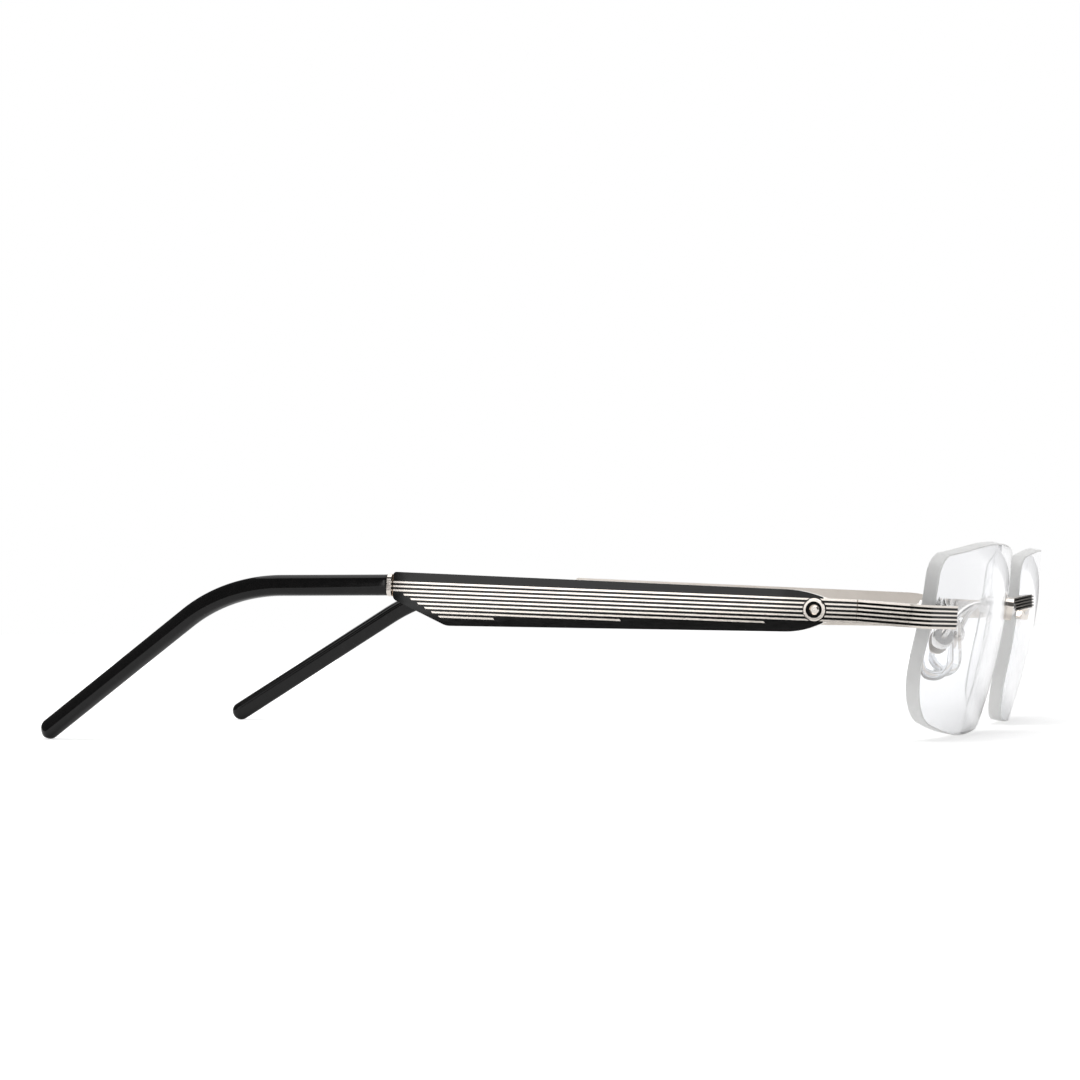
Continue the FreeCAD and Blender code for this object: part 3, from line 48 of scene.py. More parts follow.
def placed(origin, *turns):
    """A frame from its origin and its turns, each an angle in degrees and an axis."""
    matrix = Matrix.Translation(Vector(origin))
    for degrees, axis in turns:
        matrix = matrix @ Matrix.Rotation(math.radians(degrees), 4, axis)
    return matrix


FRONT_Y = -72.47
LENS_FRAME = placed((-35.0, FRONT_Y - 2.51, 15.38), (-6.5, "Z"), (11.67, "X"))
TEMPLE_FRAME = placed((-65.46, FRONT_Y + 12.95, 19.57), (-4.5, "Z"), (3.0, "X"))
PAD_FRAME = placed((-9.4, FRONT_Y + 8.7, 14.2), (28.0, "Z"), (18.0, "Y"), (20.0, "X"))


def to_side(point, side):
    """A point of the right side in metres, mirrored for the left side."""
    across = -point.x if side == "left" else point.x
    return (across * MM, point.y * MM, point.z * MM)


# ---------------------------------------------------------------- meshes

def new_piece(name, points, faces, body, replaced, materials, face_materials=None, sharp=40.0):
    """A mesh piece that rides on a body and stands for a CAD node."""
    mesh = bpy.data.meshes.new(name)
    mesh.from_pydata(points, [], faces)
    for material in materials:
        mesh.materials.append(material)
    if face_materials:
        mesh.polygons.foreach_set("material_index", face_materials)
    mesh.polygons.foreach_set("use_smooth", [True] * len(mesh.polygons))
    mesh.validate()
    mesh.update()
    mesh.set_sharp_from_angle(angle=math.radians(sharp))
    piece = bpy.data.objects.new(name, mesh)
    bpy.context.scene.collection.objects.link(piece)
    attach(piece, body)
    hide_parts(replaced)
    return piece


def side_faces(faces, side):
    """Mirrored faces turn the other way round."""
    return [tuple(reversed(face)) for face in faces] if side == "left" else faces


def ring_faces(first, second, count):
    """Quads between two closed rings of points."""
    return [
        (first + index, first + (index + 1) % count, second + (index + 1) % count, second + index)
        for index in range(count)
    ]


def rounded_outline(corners, radii, steps, longest):
    """A closed outline in which every corner has its own radius and no side is longer than longest."""
    outline = []
    count = len(corners)
    for index, radius in enumerate(radii):
        corner = Vector(corners[index])
        before = (Vector(corners[index - 1]) - corner).normalized()
        after = (Vector(corners[(index + 1) % count]) - corner).normalized()
        half_turn = (math.pi - before.angle(after)) / 2
        start = corner + before * radius * math.tan(half_turn)
        center = corner + (before + after).normalized() * radius / math.cos(half_turn)
        spoke = start - center
        turn = 2 * half_turn
        if before.x * after.y - before.y * after.x > 0:
            turn = -turn
        for step in range(steps + 1):
            angle = turn * step / steps
            outline.append(center + Vector((
                spoke.x * math.cos(angle) - spoke.y * math.sin(angle),
                spoke.x * math.sin(angle) + spoke.y * math.cos(angle),
            )))
    dense = []
    for index, point in enumerate(outline):
        following = outline[(index + 1) % len(outline)]
        parts = max(1, math.ceil((following - point).length / longest))
        dense += [point.lerp(following, part / parts) for part in range(parts)]
    return dense


def inset(outline, distance):
    """The outline moved inwards; it turns clockwise."""
    moved = []
    count = len(outline)
    for index, point in enumerate(outline):
        along = (outline[(index + 1) % count] - outline[index - 1]).normalized()
        moved.append(point + Vector((along.y, -along.x)) * distance)
    return moved


# ---------------------------------------------------------------- lenses

# Outline corners clockwise from the top at the temple, seen from the front, and their radii.
LENS_CORNERS = ((-23.6, 11.8), (6.1, 16.03), (27.5, 12.03), (23.4, -15.7), (-5.84, -16.16), (-25.3, -12.16))
LENS_ROUNDS = (4.2, 106.0, 3.65, 10.7, 95.0, 10.5)
LENS_FRONT = 99.9
LENS_BACK = 97.8
LENS_BEVEL = 0.18
LENS_HOLES = ((-21.6, 3.7), (23.8, 3.9))
LENS_HOLE_RADIUS = 0.9
LENS_GRID = 1.2
GRID_WIDTH = 60
GRID_HEIGHT = 36
# Room that the grid leaves free inside the rim and round a hole, as shares of its spacing.
GRID_RIM_ROOM = 0.6
GRID_HOLE_ROOM = 0.4
RIM_SIDE = 0.7
RIM_STEPS = 20
HOLE_STEPS = 32
SAME_POINT = 1e-6


def lens_depth(x, z, radius):
    """Depth behind the lens front's apex of a point on one of the two concentric balls."""
    return LENS_FRONT - math.sqrt(radius ** 2 - x ** 2 - z ** 2)


def lens_plan():
    """Points of the lens face in plan with its triangles: the rim first, then the holes, then a grid."""
    rim = rounded_outline(LENS_CORNERS, LENS_ROUNDS, RIM_STEPS, RIM_SIDE)
    face = inset(rim, LENS_BEVEL)
    loops = [face]
    for across, up in LENS_HOLES:
        loops.append([
            Vector((
                across + LENS_HOLE_RADIUS * math.cos(2 * math.pi * step / HOLE_STEPS),
                up + LENS_HOLE_RADIUS * math.sin(2 * math.pi * step / HOLE_STEPS),
            ))
            for step in range(HOLE_STEPS)
        ])
    points = []
    edges = []
    for loop in loops:
        start = len(points)
        points += loop
        edges += [(start + index, start + (index + 1) % len(loop)) for index in range(len(loop))]
    clear = inset(rim, LENS_GRID * GRID_RIM_ROOM)
    columns = int(GRID_WIDTH / LENS_GRID)
    rows = int(GRID_HEIGHT / LENS_GRID)
    hole_room = LENS_HOLE_RADIUS + LENS_GRID * GRID_HOLE_ROOM
    for column in range(columns):
        for row in range(rows):
            spot = Vector(((column - columns / 2) * LENS_GRID, (row - rows / 2) * LENS_GRID))
            near_hole = any((spot - Vector(hole)).length < hole_room for hole in LENS_HOLES)
            if inside(spot, clear) and not near_hole:
                points.append(spot)
    made = delaunay_2d_cdt(points, edges, [], 0, SAME_POINT)
    points, triangles = made[0], made[2]
    kept = []
    for triangle in triangles:
        middle = sum((points[index] for index in triangle), Vector((0.0, 0.0))) / 3
        in_hole = any((middle - Vector(hole)).length < LENS_HOLE_RADIUS * 0.98 for hole in LENS_HOLES)
        if inside(middle, face) and not in_hole:
            kept.append(tuple(triangle))
    return rim, [len(loop) for loop in loops], points, kept


def inside(spot, outline):
    """True if a point lies within a closed outline."""
    found = False
    for index, here in enumerate(outline):
        before = outline[index - 1]
        if (here.y > spot.y) != (before.y > spot.y):
            crossing = here.x + (spot.y - here.y) * (before.x - here.x) / (before.y - here.y)
            if spot.x < crossing:
                found = not found
    return found


def make_lens(side, clear, ground):
    """Two triangulated faces joined by a bevelled rim and by the walls of the drilled holes."""
    rim, loop_sizes, plan, triangles = lens_plan()
    count = len(plan)
    edge_count = len(rim)
    points = [Vector((p.x, lens_depth(p.x, p.y, LENS_FRONT), p.y)) for p in plan]
    # Inside the rim the back lies radially behind the front, so the holes run square to the lens.
    shrink = LENS_BACK / LENS_FRONT
    behind = plan[:edge_count] + [p * shrink for p in plan[edge_count:]]
    points += [Vector((p.x, lens_depth(p.x, p.y, LENS_BACK), p.y)) for p in behind]
    rim_front = len(points)
    points += [Vector((p.x, lens_depth(p.x, p.y, LENS_FRONT) + LENS_BEVEL, p.y)) for p in rim]
    rim_back = len(points)
    points += [Vector((p.x, lens_depth(p.x, p.y, LENS_BACK) - LENS_BEVEL, p.y)) for p in rim]
    front = [tuple(triangle) for triangle in triangles]
    back = [tuple(count + index for index in reversed(triangle)) for triangle in triangles]
    faces = front + back
    kinds = [0] * len(faces)
    edge = ring_faces(0, rim_front, edge_count)
    edge += ring_faces(rim_front, rim_back, edge_count)
    edge += ring_faces(rim_back, count, edge_count)
    start = loop_sizes[0]
    for size in loop_sizes[1:]:
        edge += ring_faces(start, count + start, size)
        start += size
    faces += edge
    kinds += [1] * len(edge)
    world = [to_side(LENS_FRAME @ point, side) for point in points]
    piece = new_piece(
        side + "_lens_glass", world, side_faces(faces, side), "front", side + "_lens",
        [clear, ground], kinds, 25.0,
    )
    face_outwards(piece)


def face_outwards(piece):
    """Make all faces of a closed mesh point outwards."""
    made = bmesh.new()
    made.from_mesh(piece.data)
    bmesh.ops.recalc_face_normals(made, faces=made.faces)
    made.to_mesh(piece.data)
    made.free()


# ---------------------------------------------------------------- tip sleeves

SLEEVE_HEIGHT = 3.3
SLEEVE_WIDTH = 2.6
SLEEVE_START = Vector((0.65, 74.83, 0.95))
BEND_CORNER = Vector((0.65, 102.3, -0.25))
BEND_RADIUS = 30.0
DROP_LENGTH = 43.1
DROP_TOE_IN = 12.7
DROP_ANGLE = 35.2
DROP_TWIST = 16.0
SLEEVE_SQUARENESS = 2.7
SLEEVE_STEPS = 120
SLEEVE_SIDES = 64
# The small round edge at the front end: its length, and how much narrower it starts.
EDGE_LENGTH = 0.12
EDGE_INSET = 0.08
EDGE_STEPS = 4
TIP_STEPS = 16


def sleeve_path():
    """Points and directions along the middle line: straight, bend, straight."""
    toe, fall = math.radians(DROP_TOE_IN), math.radians(DROP_ANGLE)
    drop = Vector((math.sin(toe) * math.cos(fall), math.cos(toe) * math.cos(fall), -math.sin(fall)))
    end = BEND_CORNER + drop * DROP_LENGTH
    before = (SLEEVE_START - BEND_CORNER).normalized()
    half_turn = (math.pi - before.angle(drop)) / 2
    tangent = BEND_RADIUS * math.tan(half_turn)
    center = BEND_CORNER + (before + drop).normalized() * BEND_RADIUS / math.cos(half_turn)
    start = BEND_CORNER + before * tangent
    finish = BEND_CORNER + drop * tangent
    axis = (start - center).cross(finish - center).normalized()
    straight = (start - SLEEVE_START).length
    bend = BEND_RADIUS * 2 * half_turn
    total = straight + bend + (end - finish).length

    def at(distance):
        if distance < straight:
            return SLEEVE_START - before * distance, -before
        if distance < straight + bend:
            turn = Matrix.Rotation((distance - straight) / BEND_RADIUS, 3, axis)
            return center + turn @ (start - center), turn @ -before
        return finish + drop * (distance - straight - bend), drop.copy()

    return at, total, straight + bend


def make_sleeve(side, material):
    """Oval rings along the middle line, turning a little as the sleeve drops."""
    at, total, twisted = sleeve_path()
    cap = SLEEVE_HEIGHT / 2
    distances = [total * step / SLEEVE_STEPS for step in range(SLEEVE_STEPS + 1)]
    rings = [(distance, 1.0) for distance in distances]
    # The front end has a small round edge, the tip ends in a dome.
    front = []
    for step in range(EDGE_STEPS):
        angle = math.pi / 2 * step / EDGE_STEPS
        front.append((EDGE_LENGTH * (1 - math.cos(angle)), 1 - EDGE_INSET * (1 - math.sin(angle))))
    rings = front + [ring for ring in rings if ring[0] > EDGE_LENGTH]
    for step in range(1, TIP_STEPS):
        angle = math.pi / 2 * step / TIP_STEPS
        rings.append((total + cap * math.sin(angle), math.cos(angle)))
    points = []
    for distance, share in rings:
        middle, direction = at(min(distance, total))
        middle = middle + direction * max(0.0, distance - total)
        wide = direction.cross(Vector((0, 0, 1))).normalized()
        tall = wide.cross(direction).normalized()
        twist = Matrix.Rotation(math.radians(DROP_TWIST) * min(1.0, distance / twisted), 3, direction)
        wide, tall = twist @ wide, twist @ tall
        for step in range(SLEEVE_SIDES):
            angle = 2 * math.pi * step / SLEEVE_SIDES
            across = power(math.cos(angle)) * SLEEVE_WIDTH / 2 * share
            up = power(math.sin(angle)) * SLEEVE_HEIGHT / 2 * share
            points.append(middle + wide * across + tall * up)
    faces = []
    for ring in range(len(rings) - 1):
        faces += ring_faces(ring * SLEEVE_SIDES, (ring + 1) * SLEEVE_SIDES, SLEEVE_SIDES)
    last = (len(rings) - 1) * SLEEVE_SIDES
    tip_middle, direction = at(total)
    points.append(tip_middle + direction * cap)
    tip = len(points) - 1
    faces += [(last + step, last + (step + 1) % SLEEVE_SIDES, tip) for step in range(SLEEVE_SIDES)]
    faces.append(tuple(reversed(range(SLEEVE_SIDES))))
    world = [to_side(TEMPLE_FRAME @ point, side) for point in points]
    piece = new_piece(
        side + "_tip", world, side_faces(faces, side), side + "_temple", side + "_tip_sleeve",
        [material], None, 50.0,
    )
    face_outwards(piece)


def power(value):
    """One coordinate of a superellipse."""
    return math.copysign(abs(value) ** (2 / SLEEVE_SQUARENESS), value)


# ---------------------------------------------------------------- nose pads

PAD_LENGTH = 5.5
PAD_BIG = 3.75
PAD_SMALL = 2.6
PAD_THICKNESS = 2.6
PAD_ROUND = 1.15
PAD_STEPS = 96
PAD_EDGE_STEPS = 10
# Outlines on the flat faces, this far inside the pad's own outline.
PAD_FACE_RINGS = (1.5, 2.0, 2.4)


def pad_outline(shrink):
    """Egg outline: two round ends and their common tangents, smaller all round by shrink."""
    big, small = PAD_BIG - shrink, PAD_SMALL - shrink
    lean = math.asin((PAD_BIG - PAD_SMALL) / PAD_LENGTH)
    points = []
    half = PAD_STEPS // 2
    for step in range(half):
        angle = lean + (math.pi - 2 * lean) * step / (half - 1)
        points.append((small * math.cos(angle), PAD_LENGTH / 2 + small * math.sin(angle)))
    for step in range(half):
        angle = math.pi - lean + (math.pi + 2 * lean) * step / (half - 1)
        points.append((big * math.cos(angle), -PAD_LENGTH / 2 + big * math.sin(angle)))
    return points


def make_pad(side, material):
    """The pad is a stack of outlines with a round edge on both faces."""
    rings = []
    half = PAD_THICKNESS / 2
    for step in range(PAD_EDGE_STEPS + 1):
        angle = math.pi / 2 * step / PAD_EDGE_STEPS
        rings.append((PAD_ROUND * (1 - math.sin(angle)), half - PAD_ROUND + PAD_ROUND * math.cos(angle)))
    upper = [(shrink, half) for shrink in reversed(PAD_FACE_RINGS)]
    profile = upper + rings + [(shrink, -height) for shrink, height in reversed(rings)]
    profile += [(shrink, -height) for shrink, height in reversed(upper)]
    points = []
    for shrink, height in profile:
        for across, up in pad_outline(shrink):
            points.append(Vector((height, across, up)))
    faces = []
    for ring in range(len(profile) - 1):
        faces += ring_faces(ring * PAD_STEPS, (ring + 1) * PAD_STEPS, PAD_STEPS)
    faces.append(tuple(reversed(range(PAD_STEPS))))
    faces.append(tuple(range((len(profile) - 1) * PAD_STEPS, len(profile) * PAD_STEPS)))
    world = [to_side(PAD_FRAME @ point, side) for point in points]
    piece = new_piece(
        side + "_pad_silicone", world, side_faces(faces, side), side + "_pad", side + "_nose_pad",
        [material], None, 60.0,
    )
    face_outwards(piece)


# ---------------------------------------------------------------- materials

def new_material(name):
    """A material with an empty Principled shader, and helpers to add nodes to it."""
    material = bpy.data.materials.new(name)
    material.use_nodes = True
    tree = material.node_tree
    shader = tree.nodes["Principled BSDF"]
    return material, tree, shader


def coordinates(tree, scale):
    """Object coordinates stretched by a scale per axis."""
    source = tree.nodes.new("ShaderNodeTexCoord")
    mapping = tree.nodes.new("ShaderNodeMapping")
    mapping.inputs["Scale"].default_value = scale
    tree.links.new(source.outputs["Object"], mapping.inputs["Vector"])
    return mapping.outputs["Vector"]


def noise(tree, scale, size, detail=3.0, roughness=0.55):
    """Noise with features of about this size in metres, stretched by scale."""
    node = tree.nodes.new("ShaderNodeTexNoise")
    node.inputs["Scale"].default_value = 1.0 / size
    node.inputs["Detail"].default_value = detail
    node.inputs["Roughness"].default_value = roughness
    tree.links.new(coordinates(tree, scale), node.inputs["Vector"])
    return node.outputs["Fac"]


def remap(tree, value, low, high):
    """A 0 to 1 value moved to a new range."""
    node = tree.nodes.new("ShaderNodeMapRange")
    node.inputs["From Min"].default_value = 0.3
    node.inputs["From Max"].default_value = 0.7
    node.inputs["To Min"].default_value = low
    node.inputs["To Max"].default_value = high
    tree.links.new(value, node.inputs["Value"])
    return node.outputs["Result"]


def blend_colors(tree, value, first, second):
    """The first colour where the value is 0, the second where it is 1."""
    node = tree.nodes.new("ShaderNodeMix")
    node.data_type = "RGBA"
    node.inputs["A"].default_value = first
    node.inputs["B"].default_value = second
    tree.links.new(value, node.inputs["Factor"])
    return node.outputs["Result"]


def bump(tree, value, depth, shader):
    """Raise the surface by depth metres where the value is 1."""
    node = tree.nodes.new("ShaderNodeBump")
    node.inputs["Distance"].default_value = depth
    node.inputs["Strength"].default_value = 1.0
    tree.links.new(value, node.inputs["Height"])
    tree.links.new(node.outputs["Normal"], shader.inputs["Normal"])


def metal(name, light, dark, smooth, rough, grain, depth, stretch=(1.0, 0.08, 1.0)):
    """Polished or satin metal with fine lines along the temples and uneven polish."""
    material, tree, shader = new_material(name)
    shader.inputs["Metallic"].default_value = 1.0
    lines = noise(tree, stretch, grain)
    patches = noise(tree, EVEN, 0.002)
    tree.links.new(
        blend_colors(tree, remap(tree, patches, 0.0, 1.0), light, dark), shader.inputs["Base Color"]
    )
    tree.links.new(remap(tree, lines, smooth, rough), shader.inputs["Roughness"])
    bump(tree, lines, depth, shader)
    return material


def gloss_black(name, light, dark, smooth, rough, depth, gloss):
    """Gloss black with uneven polish and a very shallow orange peel."""
    material, tree, shader = new_material(name)
    shader.inputs["Specular IOR Level"].default_value = gloss
    peel = noise(tree, EVEN, 0.0012, 2.0)
    marks = noise(tree, (1.0, 0.2, 1.0), 0.0004)
    tone = blend_colors(tree, remap(tree, peel, 0.0, 1.0), light, dark)
    tree.links.new(tone, shader.inputs["Base Color"])
    tree.links.new(remap(tree, marks, smooth, rough), shader.inputs["Roughness"])
    bump(tree, peel, depth, shader)
    return material


def clear(name, light, dark, index, smooth, rough, grain, depth, through=1.0):
    """Clear plastic, glass or silicone; a ground surface lets less light through and scatters the rest."""
    material, tree, shader = new_material(name)
    shader.inputs["Transmission Weight"].default_value = through
    shader.inputs["IOR"].default_value = index
    cloud = noise(tree, EVEN, 0.006, 2.0)
    fine = noise(tree, EVEN, grain, 2.0)
    tone = blend_colors(tree, remap(tree, cloud, 0.0, 1.0), light, dark)
    tree.links.new(tone, shader.inputs["Base Color"])
    tree.links.new(remap(tree, fine, smooth, rough), shader.inputs["Roughness"])
    if depth > 0:
        bump(tree, fine, depth, shader)
    return material


# Share of the light that passes straight through the ground edge of a lens.
GROUND_THROUGH = 0.15

EVEN = (1.0, 1.0, 1.0)
WARM_LIGHT = (0.86, 0.80, 0.74, 1.0)
WARM_DARK = (0.80, 0.74, 0.68, 1.0)
COOL_LIGHT = (0.84, 0.82, 0.80, 1.0)
COOL_DARK = (0.74, 0.72, 0.70, 1.0)
BLACK_LIGHT = (0.007, 0.0065, 0.0065, 1.0)
BLACK_DARK = (0.004, 0.004, 0.004, 1.0)
BLACK_DEEP = (0.002, 0.002, 0.002, 1.0)
GLASS_INDEX = 1.5
SILICONE_INDEX = 1.41

# Colours, roughness from and to, size of the grain and depth of the bump.
polished = metal("polished_metal", WARM_LIGHT, WARM_DARK, 0.05, 0.09, 0.00012, 0.0000001)
mirror_metal = metal("mirror_metal", COOL_LIGHT, COOL_DARK, 0.04, 0.08, 0.0002, 0.0000001)
steel = metal("screw_steel", COOL_LIGHT, COOL_DARK, 0.12, 0.24, 0.00015, 0.0000003)
satin = metal("satin_metal", WARM_LIGHT, WARM_DARK, 0.30, 0.42, 0.00010, 0.0000005)
# Colours, roughness from and to, depth of the bump and gloss.
enamel = gloss_black("black_enamel", BLACK_LIGHT, BLACK_DARK, 0.03, 0.05, 0.0000004, 0.30)
# Painted shade: a darker, duller copy of the black enamel for the endpieces, the bridge and the medallion,
# standing in for the shade that keeps their grooves darker than the temples' enamel.
painted_shade_black = gloss_black("enamel_painted_shade", BLACK_DARK, BLACK_DEEP, 0.10, 0.20, 0.0000004, 0.06)
acetate = gloss_black("black_acetate", BLACK_LIGHT, BLACK_DARK, 0.06, 0.10, 0.000001, 0.32)
# Colours, refractive index, roughness from and to, size of the grain and depth of the bump.
lens_clear = clear(
    "lens_clear", (0.875, 0.88, 0.895, 1.0), (0.865, 0.87, 0.885, 1.0), GLASS_INDEX, 0.0, 0.01, 0.0008, 0.0
)
lens_ground = clear(
    "lens_ground", (0.97, 0.97, 0.96, 1.0), (0.93, 0.93, 0.92, 1.0),
    GLASS_INDEX, 0.35, 0.6, 0.00006, 0.000004,
    GROUND_THROUGH,
)
silicone = clear(
    "pad_silicone", (0.97, 0.98, 0.99, 1.0), (0.94, 0.95, 0.97, 1.0),
    SILICONE_INDEX, 0.02, 0.08, 0.0006, 0.000003
)
clear_plastic = clear(
    "clear_plastic", (0.95, 0.96, 0.97, 1.0), (0.9, 0.91, 0.92, 1.0),
    GLASS_INDEX, 0.08, 0.2, 0.0002, 0.000002
)


# The plate is polished down to the first depth below its outer face and satin from the second.
PLATE_POLISHED = 0.5
PLATE_SATIN = 1.0


def depth_share(tree, side):
    """0 on the outer face of the plate and 1 on its inner face, told apart by depth."""
    inward = TEMPLE_FRAME.col[0].to_3d()
    start = inward.dot(TEMPLE_FRAME.translation) * MM
    if side == "left":
        inward.x = -inward.x
    source = tree.nodes.new("ShaderNodeTexCoord")
    dot = tree.nodes.new("ShaderNodeVectorMath")
    dot.operation = "DOT_PRODUCT"
    dot.inputs[1].default_value = inward
    tree.links.new(source.outputs["Object"], dot.inputs[0])
    share = tree.nodes.new("ShaderNodeMapRange")
    share.inputs["From Min"].default_value = start + PLATE_POLISHED * MM
    share.inputs["From Max"].default_value = start + PLATE_SATIN * MM
    tree.links.new(dot.outputs["Value"], share.inputs["Value"])
    return share.outputs["Result"]


def plate_metal(side):
    """The plate: polished lines outside, satin inside."""
    material, tree, shader = new_material(side + "_plate_metal")
    shader.inputs["Metallic"].default_value = 1.0
    lines = noise(tree, (1.0, 0.06, 1.0), 0.00010)
    patches = noise(tree, EVEN, 0.004)
    tone = blend_colors(tree, remap(tree, patches, 0.0, 1.0), WARM_LIGHT, WARM_DARK)
    tree.links.new(tone, shader.inputs["Base Color"])
    mix = tree.nodes.new("ShaderNodeMix")
    tree.links.new(depth_share(tree, side), mix.inputs["Factor"])
    tree.links.new(remap(tree, lines, 0.05, 0.09), mix.inputs["A"])
    tree.links.new(remap(tree, lines, 0.30, 0.38), mix.inputs["B"])
    tree.links.new(mix.outputs["Result"], shader.inputs["Roughness"])
    bump(tree, lines, 0.0000001, shader)
    return material


# The enamel of the bridge, the endpieces and the medallion takes the darker copy with painted shade.
NODE_MATERIALS = {
    "bridge": polished,
    "bridge_enamel": painted_shade_black,
    "bridge_screws": mirror_metal,
    "bridge_nuts": steel,
    "endpiece_nuts": steel,
    "lens_washers": clear_plastic,
    "lens_bushings": clear_plastic,
}
SIDE_MATERIALS = {
    "endpiece": polished,
    "endpiece_enamel": painted_shade_black,
    "front_hinge": steel,
    "hinge_screw": steel,
    "pad_arm": mirror_metal,
    "pad_box": mirror_metal,
    "pad_pin": steel,
    "pad_mount": satin,
    "temple_enamel": enamel,
    "medallion": polished,
    "medallion_enamel": painted_shade_black,
    "temple_hinge": steel,
    "temple_core": steel,
    "collar_ring": polished,
}

for side in SIDES:
    for name, material in SIDE_MATERIALS.items():
        NODE_MATERIALS[side + "_" + name] = material
    NODE_MATERIALS[side + "_temple_plate"] = plate_metal(side)
for name, material in NODE_MATERIALS.items():
    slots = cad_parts[name].material_slots
    for slot in slots:
        slot.material = material

for side in SIDES:
    make_lens(side, lens_clear, lens_ground)
    make_sleeve(side, acetate)
    make_pad(side, silicone)


# ---------------------------------------------------------------- studio

FLOOR_HALF = 3.0
# Share of the floor's glow that gloss and other surfaces receive.
FLOOR_MIRRORED = 0.45
# The glow of the floor near the object and far from it, and the distances between which it grows.
GLOW_NEAR = 0.45
GLOW_FAR = 1.0
GLOW_START = 0.20
GLOW_END = 0.80


def make_floor():
    """A plain white floor that glows a little more away from the object, so that it has no horizon."""
    mesh = bpy.data.meshes.new("floor")
    corners = [
        (-FLOOR_HALF, -FLOOR_HALF, 0.0),
        (FLOOR_HALF, -FLOOR_HALF, 0.0),
        (FLOOR_HALF, FLOOR_HALF, 0.0),
        (-FLOOR_HALF, FLOOR_HALF, 0.0),
    ]
    mesh.from_pydata(corners, [], [(0, 1, 2, 3)])
    material, tree, shader = new_material("floor_white")
    grain = noise(tree, EVEN, 0.05, 2.0)
    tone = blend_colors(tree, grain, (0.90, 0.90, 0.90, 1.0), (0.92, 0.92, 0.92, 1.0))
    tree.links.new(tone, shader.inputs["Base Color"])
    shader.inputs["Roughness"].default_value = 0.8
    shader.inputs["Specular IOR Level"].default_value = 0.1
    shader.inputs["Emission Color"].default_value = (1.0, 1.0, 1.0, 1.0)
    source = tree.nodes.new("ShaderNodeTexCoord")
    distance = tree.nodes.new("ShaderNodeVectorMath")
    distance.operation = "LENGTH"
    tree.links.new(source.outputs["Object"], distance.inputs[0])
    glow = tree.nodes.new("ShaderNodeMapRange")
    glow.inputs["From Min"].default_value = GLOW_START
    glow.inputs["From Max"].default_value = GLOW_END
    glow.inputs["To Min"].default_value = GLOW_NEAR
    glow.inputs["To Max"].default_value = GLOW_FAR
    tree.links.new(distance.outputs["Value"], glow.inputs["Value"])
    path = tree.nodes.new("ShaderNodeLightPath")
    seen = tree.nodes.new("ShaderNodeMath")
    seen.operation = "MAXIMUM"
    tree.links.new(path.outputs["Is Camera Ray"], seen.inputs[0])
    tree.links.new(path.outputs["Is Transmission Ray"], seen.inputs[1])
    share = tree.nodes.new("ShaderNodeMapRange")
    share.inputs["To Min"].default_value = FLOOR_MIRRORED
    share.inputs["To Max"].default_value = 1.0
    tree.links.new(seen.outputs["Value"], share.inputs["Value"])
    strength = tree.nodes.new("ShaderNodeMath")
    strength.operation = "MULTIPLY"
    tree.links.new(glow.outputs["Result"], strength.inputs[0])
    tree.links.new(share.outputs["Result"], strength.inputs[1])
    tree.links.new(strength.outputs["Value"], shader.inputs["Emission Strength"])
    mesh.materials.append(material)
    floor = bpy.data.objects.new("floor", mesh)
    bpy.context.scene.collection.objects.link(floor)


# What gloss mirrors of the world, and what clear pieces show of it low down and from this height up.
WORLD_MIRRORED = 0.12
WORLD_LOW = 1.0
WORLD_HIGH = 0.25
HIGH_START = 0.20
HIGH_END = 0.60


def background(tree, strength):
    """A white background of this strength."""
    node = tree.nodes.new("ShaderNodeBackground")
    node.inputs["Color"].default_value = (1.0, 1.0, 1.0, 1.0)
    node.inputs["Strength"].default_value = strength
    return node


def make_world():
    """White behind the object, dim in reflections, darker from above through clear pieces."""
    world = bpy.data.worlds.new("studio")
    bpy.context.scene.world = world
    world.use_nodes = True
    tree = world.node_tree
    tree.nodes.clear()
    output = tree.nodes.new("ShaderNodeOutputWorld")
    path = tree.nodes.new("ShaderNodeLightPath")
    source = tree.nodes.new("ShaderNodeTexCoord")
    split = tree.nodes.new("ShaderNodeSeparateXYZ")
    tree.links.new(source.outputs["Generated"], split.inputs["Vector"])
    fall = tree.nodes.new("ShaderNodeMapRange")
    fall.inputs["From Min"].default_value = HIGH_START
    fall.inputs["From Max"].default_value = HIGH_END
    fall.inputs["To Min"].default_value = WORLD_LOW
    fall.inputs["To Max"].default_value = WORLD_HIGH
    tree.links.new(split.outputs["Z"], fall.inputs["Value"])
    dim = background(tree, WORLD_MIRRORED)
    white = background(tree, 1.0)
    through = background(tree, 1.0)
    tree.links.new(fall.outputs["Result"], through.inputs["Strength"])
    clear_mix = tree.nodes.new("ShaderNodeMixShader")
    tree.links.new(path.outputs["Is Transmission Ray"], clear_mix.inputs["Fac"])
    tree.links.new(dim.outputs["Background"], clear_mix.inputs[1])
    tree.links.new(through.outputs["Background"], clear_mix.inputs[2])
    mix = tree.nodes.new("ShaderNodeMixShader")
    tree.links.new(path.outputs["Is Camera Ray"], mix.inputs["Fac"])
    tree.links.new(clear_mix.outputs["Shader"], mix.inputs[1])
    tree.links.new(white.outputs["Background"], mix.inputs[2])
    tree.links.new(mix.outputs["Shader"], output.inputs["Surface"])


# Name, place, target, width, height and radiance of each soft light, in metres.
MIDDLE = (0.0, 0.0, 0.015)
SOFTBOXES = (
    ("overhead", (0.0, 0.0, 0.75), MIDDLE, 1.0, 1.0, 1.2),
    ("panel_rear", (-0.62, 0.215, 0.161), (0.0, 0.215, 0.161), 0.14, 0.283, 1.5),
    ("panel_middle", (-0.62, 0.075, 0.161), (0.0, 0.075, 0.161), 0.14, 0.283, 1.0),
    ("front_side", (-0.10, -0.75, 0.25), MIDDLE, 0.7, 0.45, 0.7),
    ("far_side", (0.75, 0.1, 0.3), MIDDLE, 0.9, 0.6, 0.8),
)


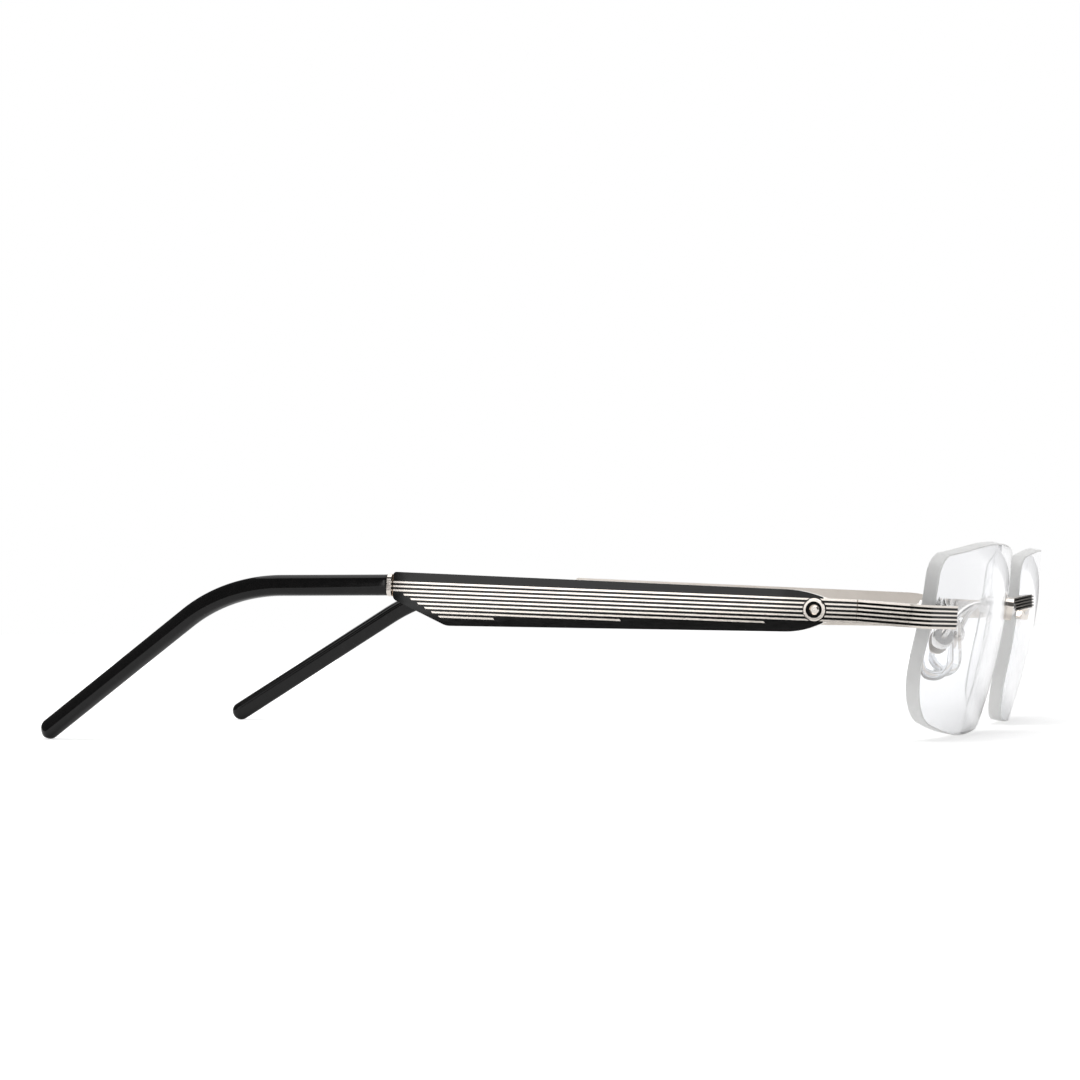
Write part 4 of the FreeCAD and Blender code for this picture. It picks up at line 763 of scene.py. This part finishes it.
def softbox(name, position, target, width, height, radiance):
    """A soft area light. Radiance is how bright its face looks; white is 1."""
    data = bpy.data.lights.new(name, "AREA")
    data.shape = "RECTANGLE"
    data.size = width
    data.size_y = height
    data.energy = radiance * width * height * 4
    light = bpy.data.objects.new(name, data)
    light.location = position
    light.rotation_mode = "QUATERNION"
    light.rotation_quaternion = (Vector(target) - Vector(position)).to_track_quat("-Z", "Y")
    bpy.context.scene.collection.objects.link(light)
    light.visible_camera = False
    light.visible_transmission = False


def make_lights():
    """A large light overhead, upright panels beside the near temple and softer ones in front and behind."""
    for values in SOFTBOXES:
        softbox(*values)


# The camera's place in millimetres, its turns in degrees and its focal length.
CAMERA_PLACE = Vector((-543.4, FRONT_Y - 62.0, 19.8))
CAMERA_YAW = 14.47
CAMERA_PITCH = 1.29
CAMERA_ROLL = -0.58
CAMERA_LENS = 108.33


def make_camera():
    """The camera stands low in front of the wearer's right side with a long lens."""
    yaw, pitch, roll = (math.radians(angle) for angle in (CAMERA_YAW, CAMERA_PITCH, CAMERA_ROLL))
    forward = Vector((math.cos(yaw) * math.cos(pitch), math.sin(yaw) * math.cos(pitch), math.sin(pitch)))
    level = Vector((math.sin(yaw), -math.cos(yaw), 0.0))
    upright = level.cross(forward)
    right = level * math.cos(roll) + upright * math.sin(roll)
    up = upright * math.cos(roll) - level * math.sin(roll)
    data = bpy.data.cameras.new("camera")
    data.sensor_width = 36.0
    data.lens = CAMERA_LENS
    data.clip_start = 0.01
    data.clip_end = 20.0
    camera = bpy.data.objects.new("camera", data)
    columns = Matrix((right, up, -forward)).transposed()
    camera.matrix_world = Matrix.Translation(CAMERA_PLACE * MM) @ columns.to_4x4()
    bpy.context.scene.collection.objects.link(camera)
    bpy.context.scene.camera = camera


def set_color_management():
    """Plain colours, and enough bounces for light to pass through both lenses and the pads."""
    scene = bpy.context.scene
    scene.view_settings.view_transform = "Standard"
    scene.view_settings.look = "None"
    scene.view_settings.exposure = 0.0
    scene.cycles.max_bounces = 24
    scene.cycles.transmission_bounces = 16
    scene.cycles.transparent_max_bounces = 16
    scene.cycles.glossy_bounces = 8
    scene.cycles.caustics_reflective = False
    scene.cycles.caustics_refractive = True


make_floor()
make_world()
make_lights()
make_camera()
set_color_management()
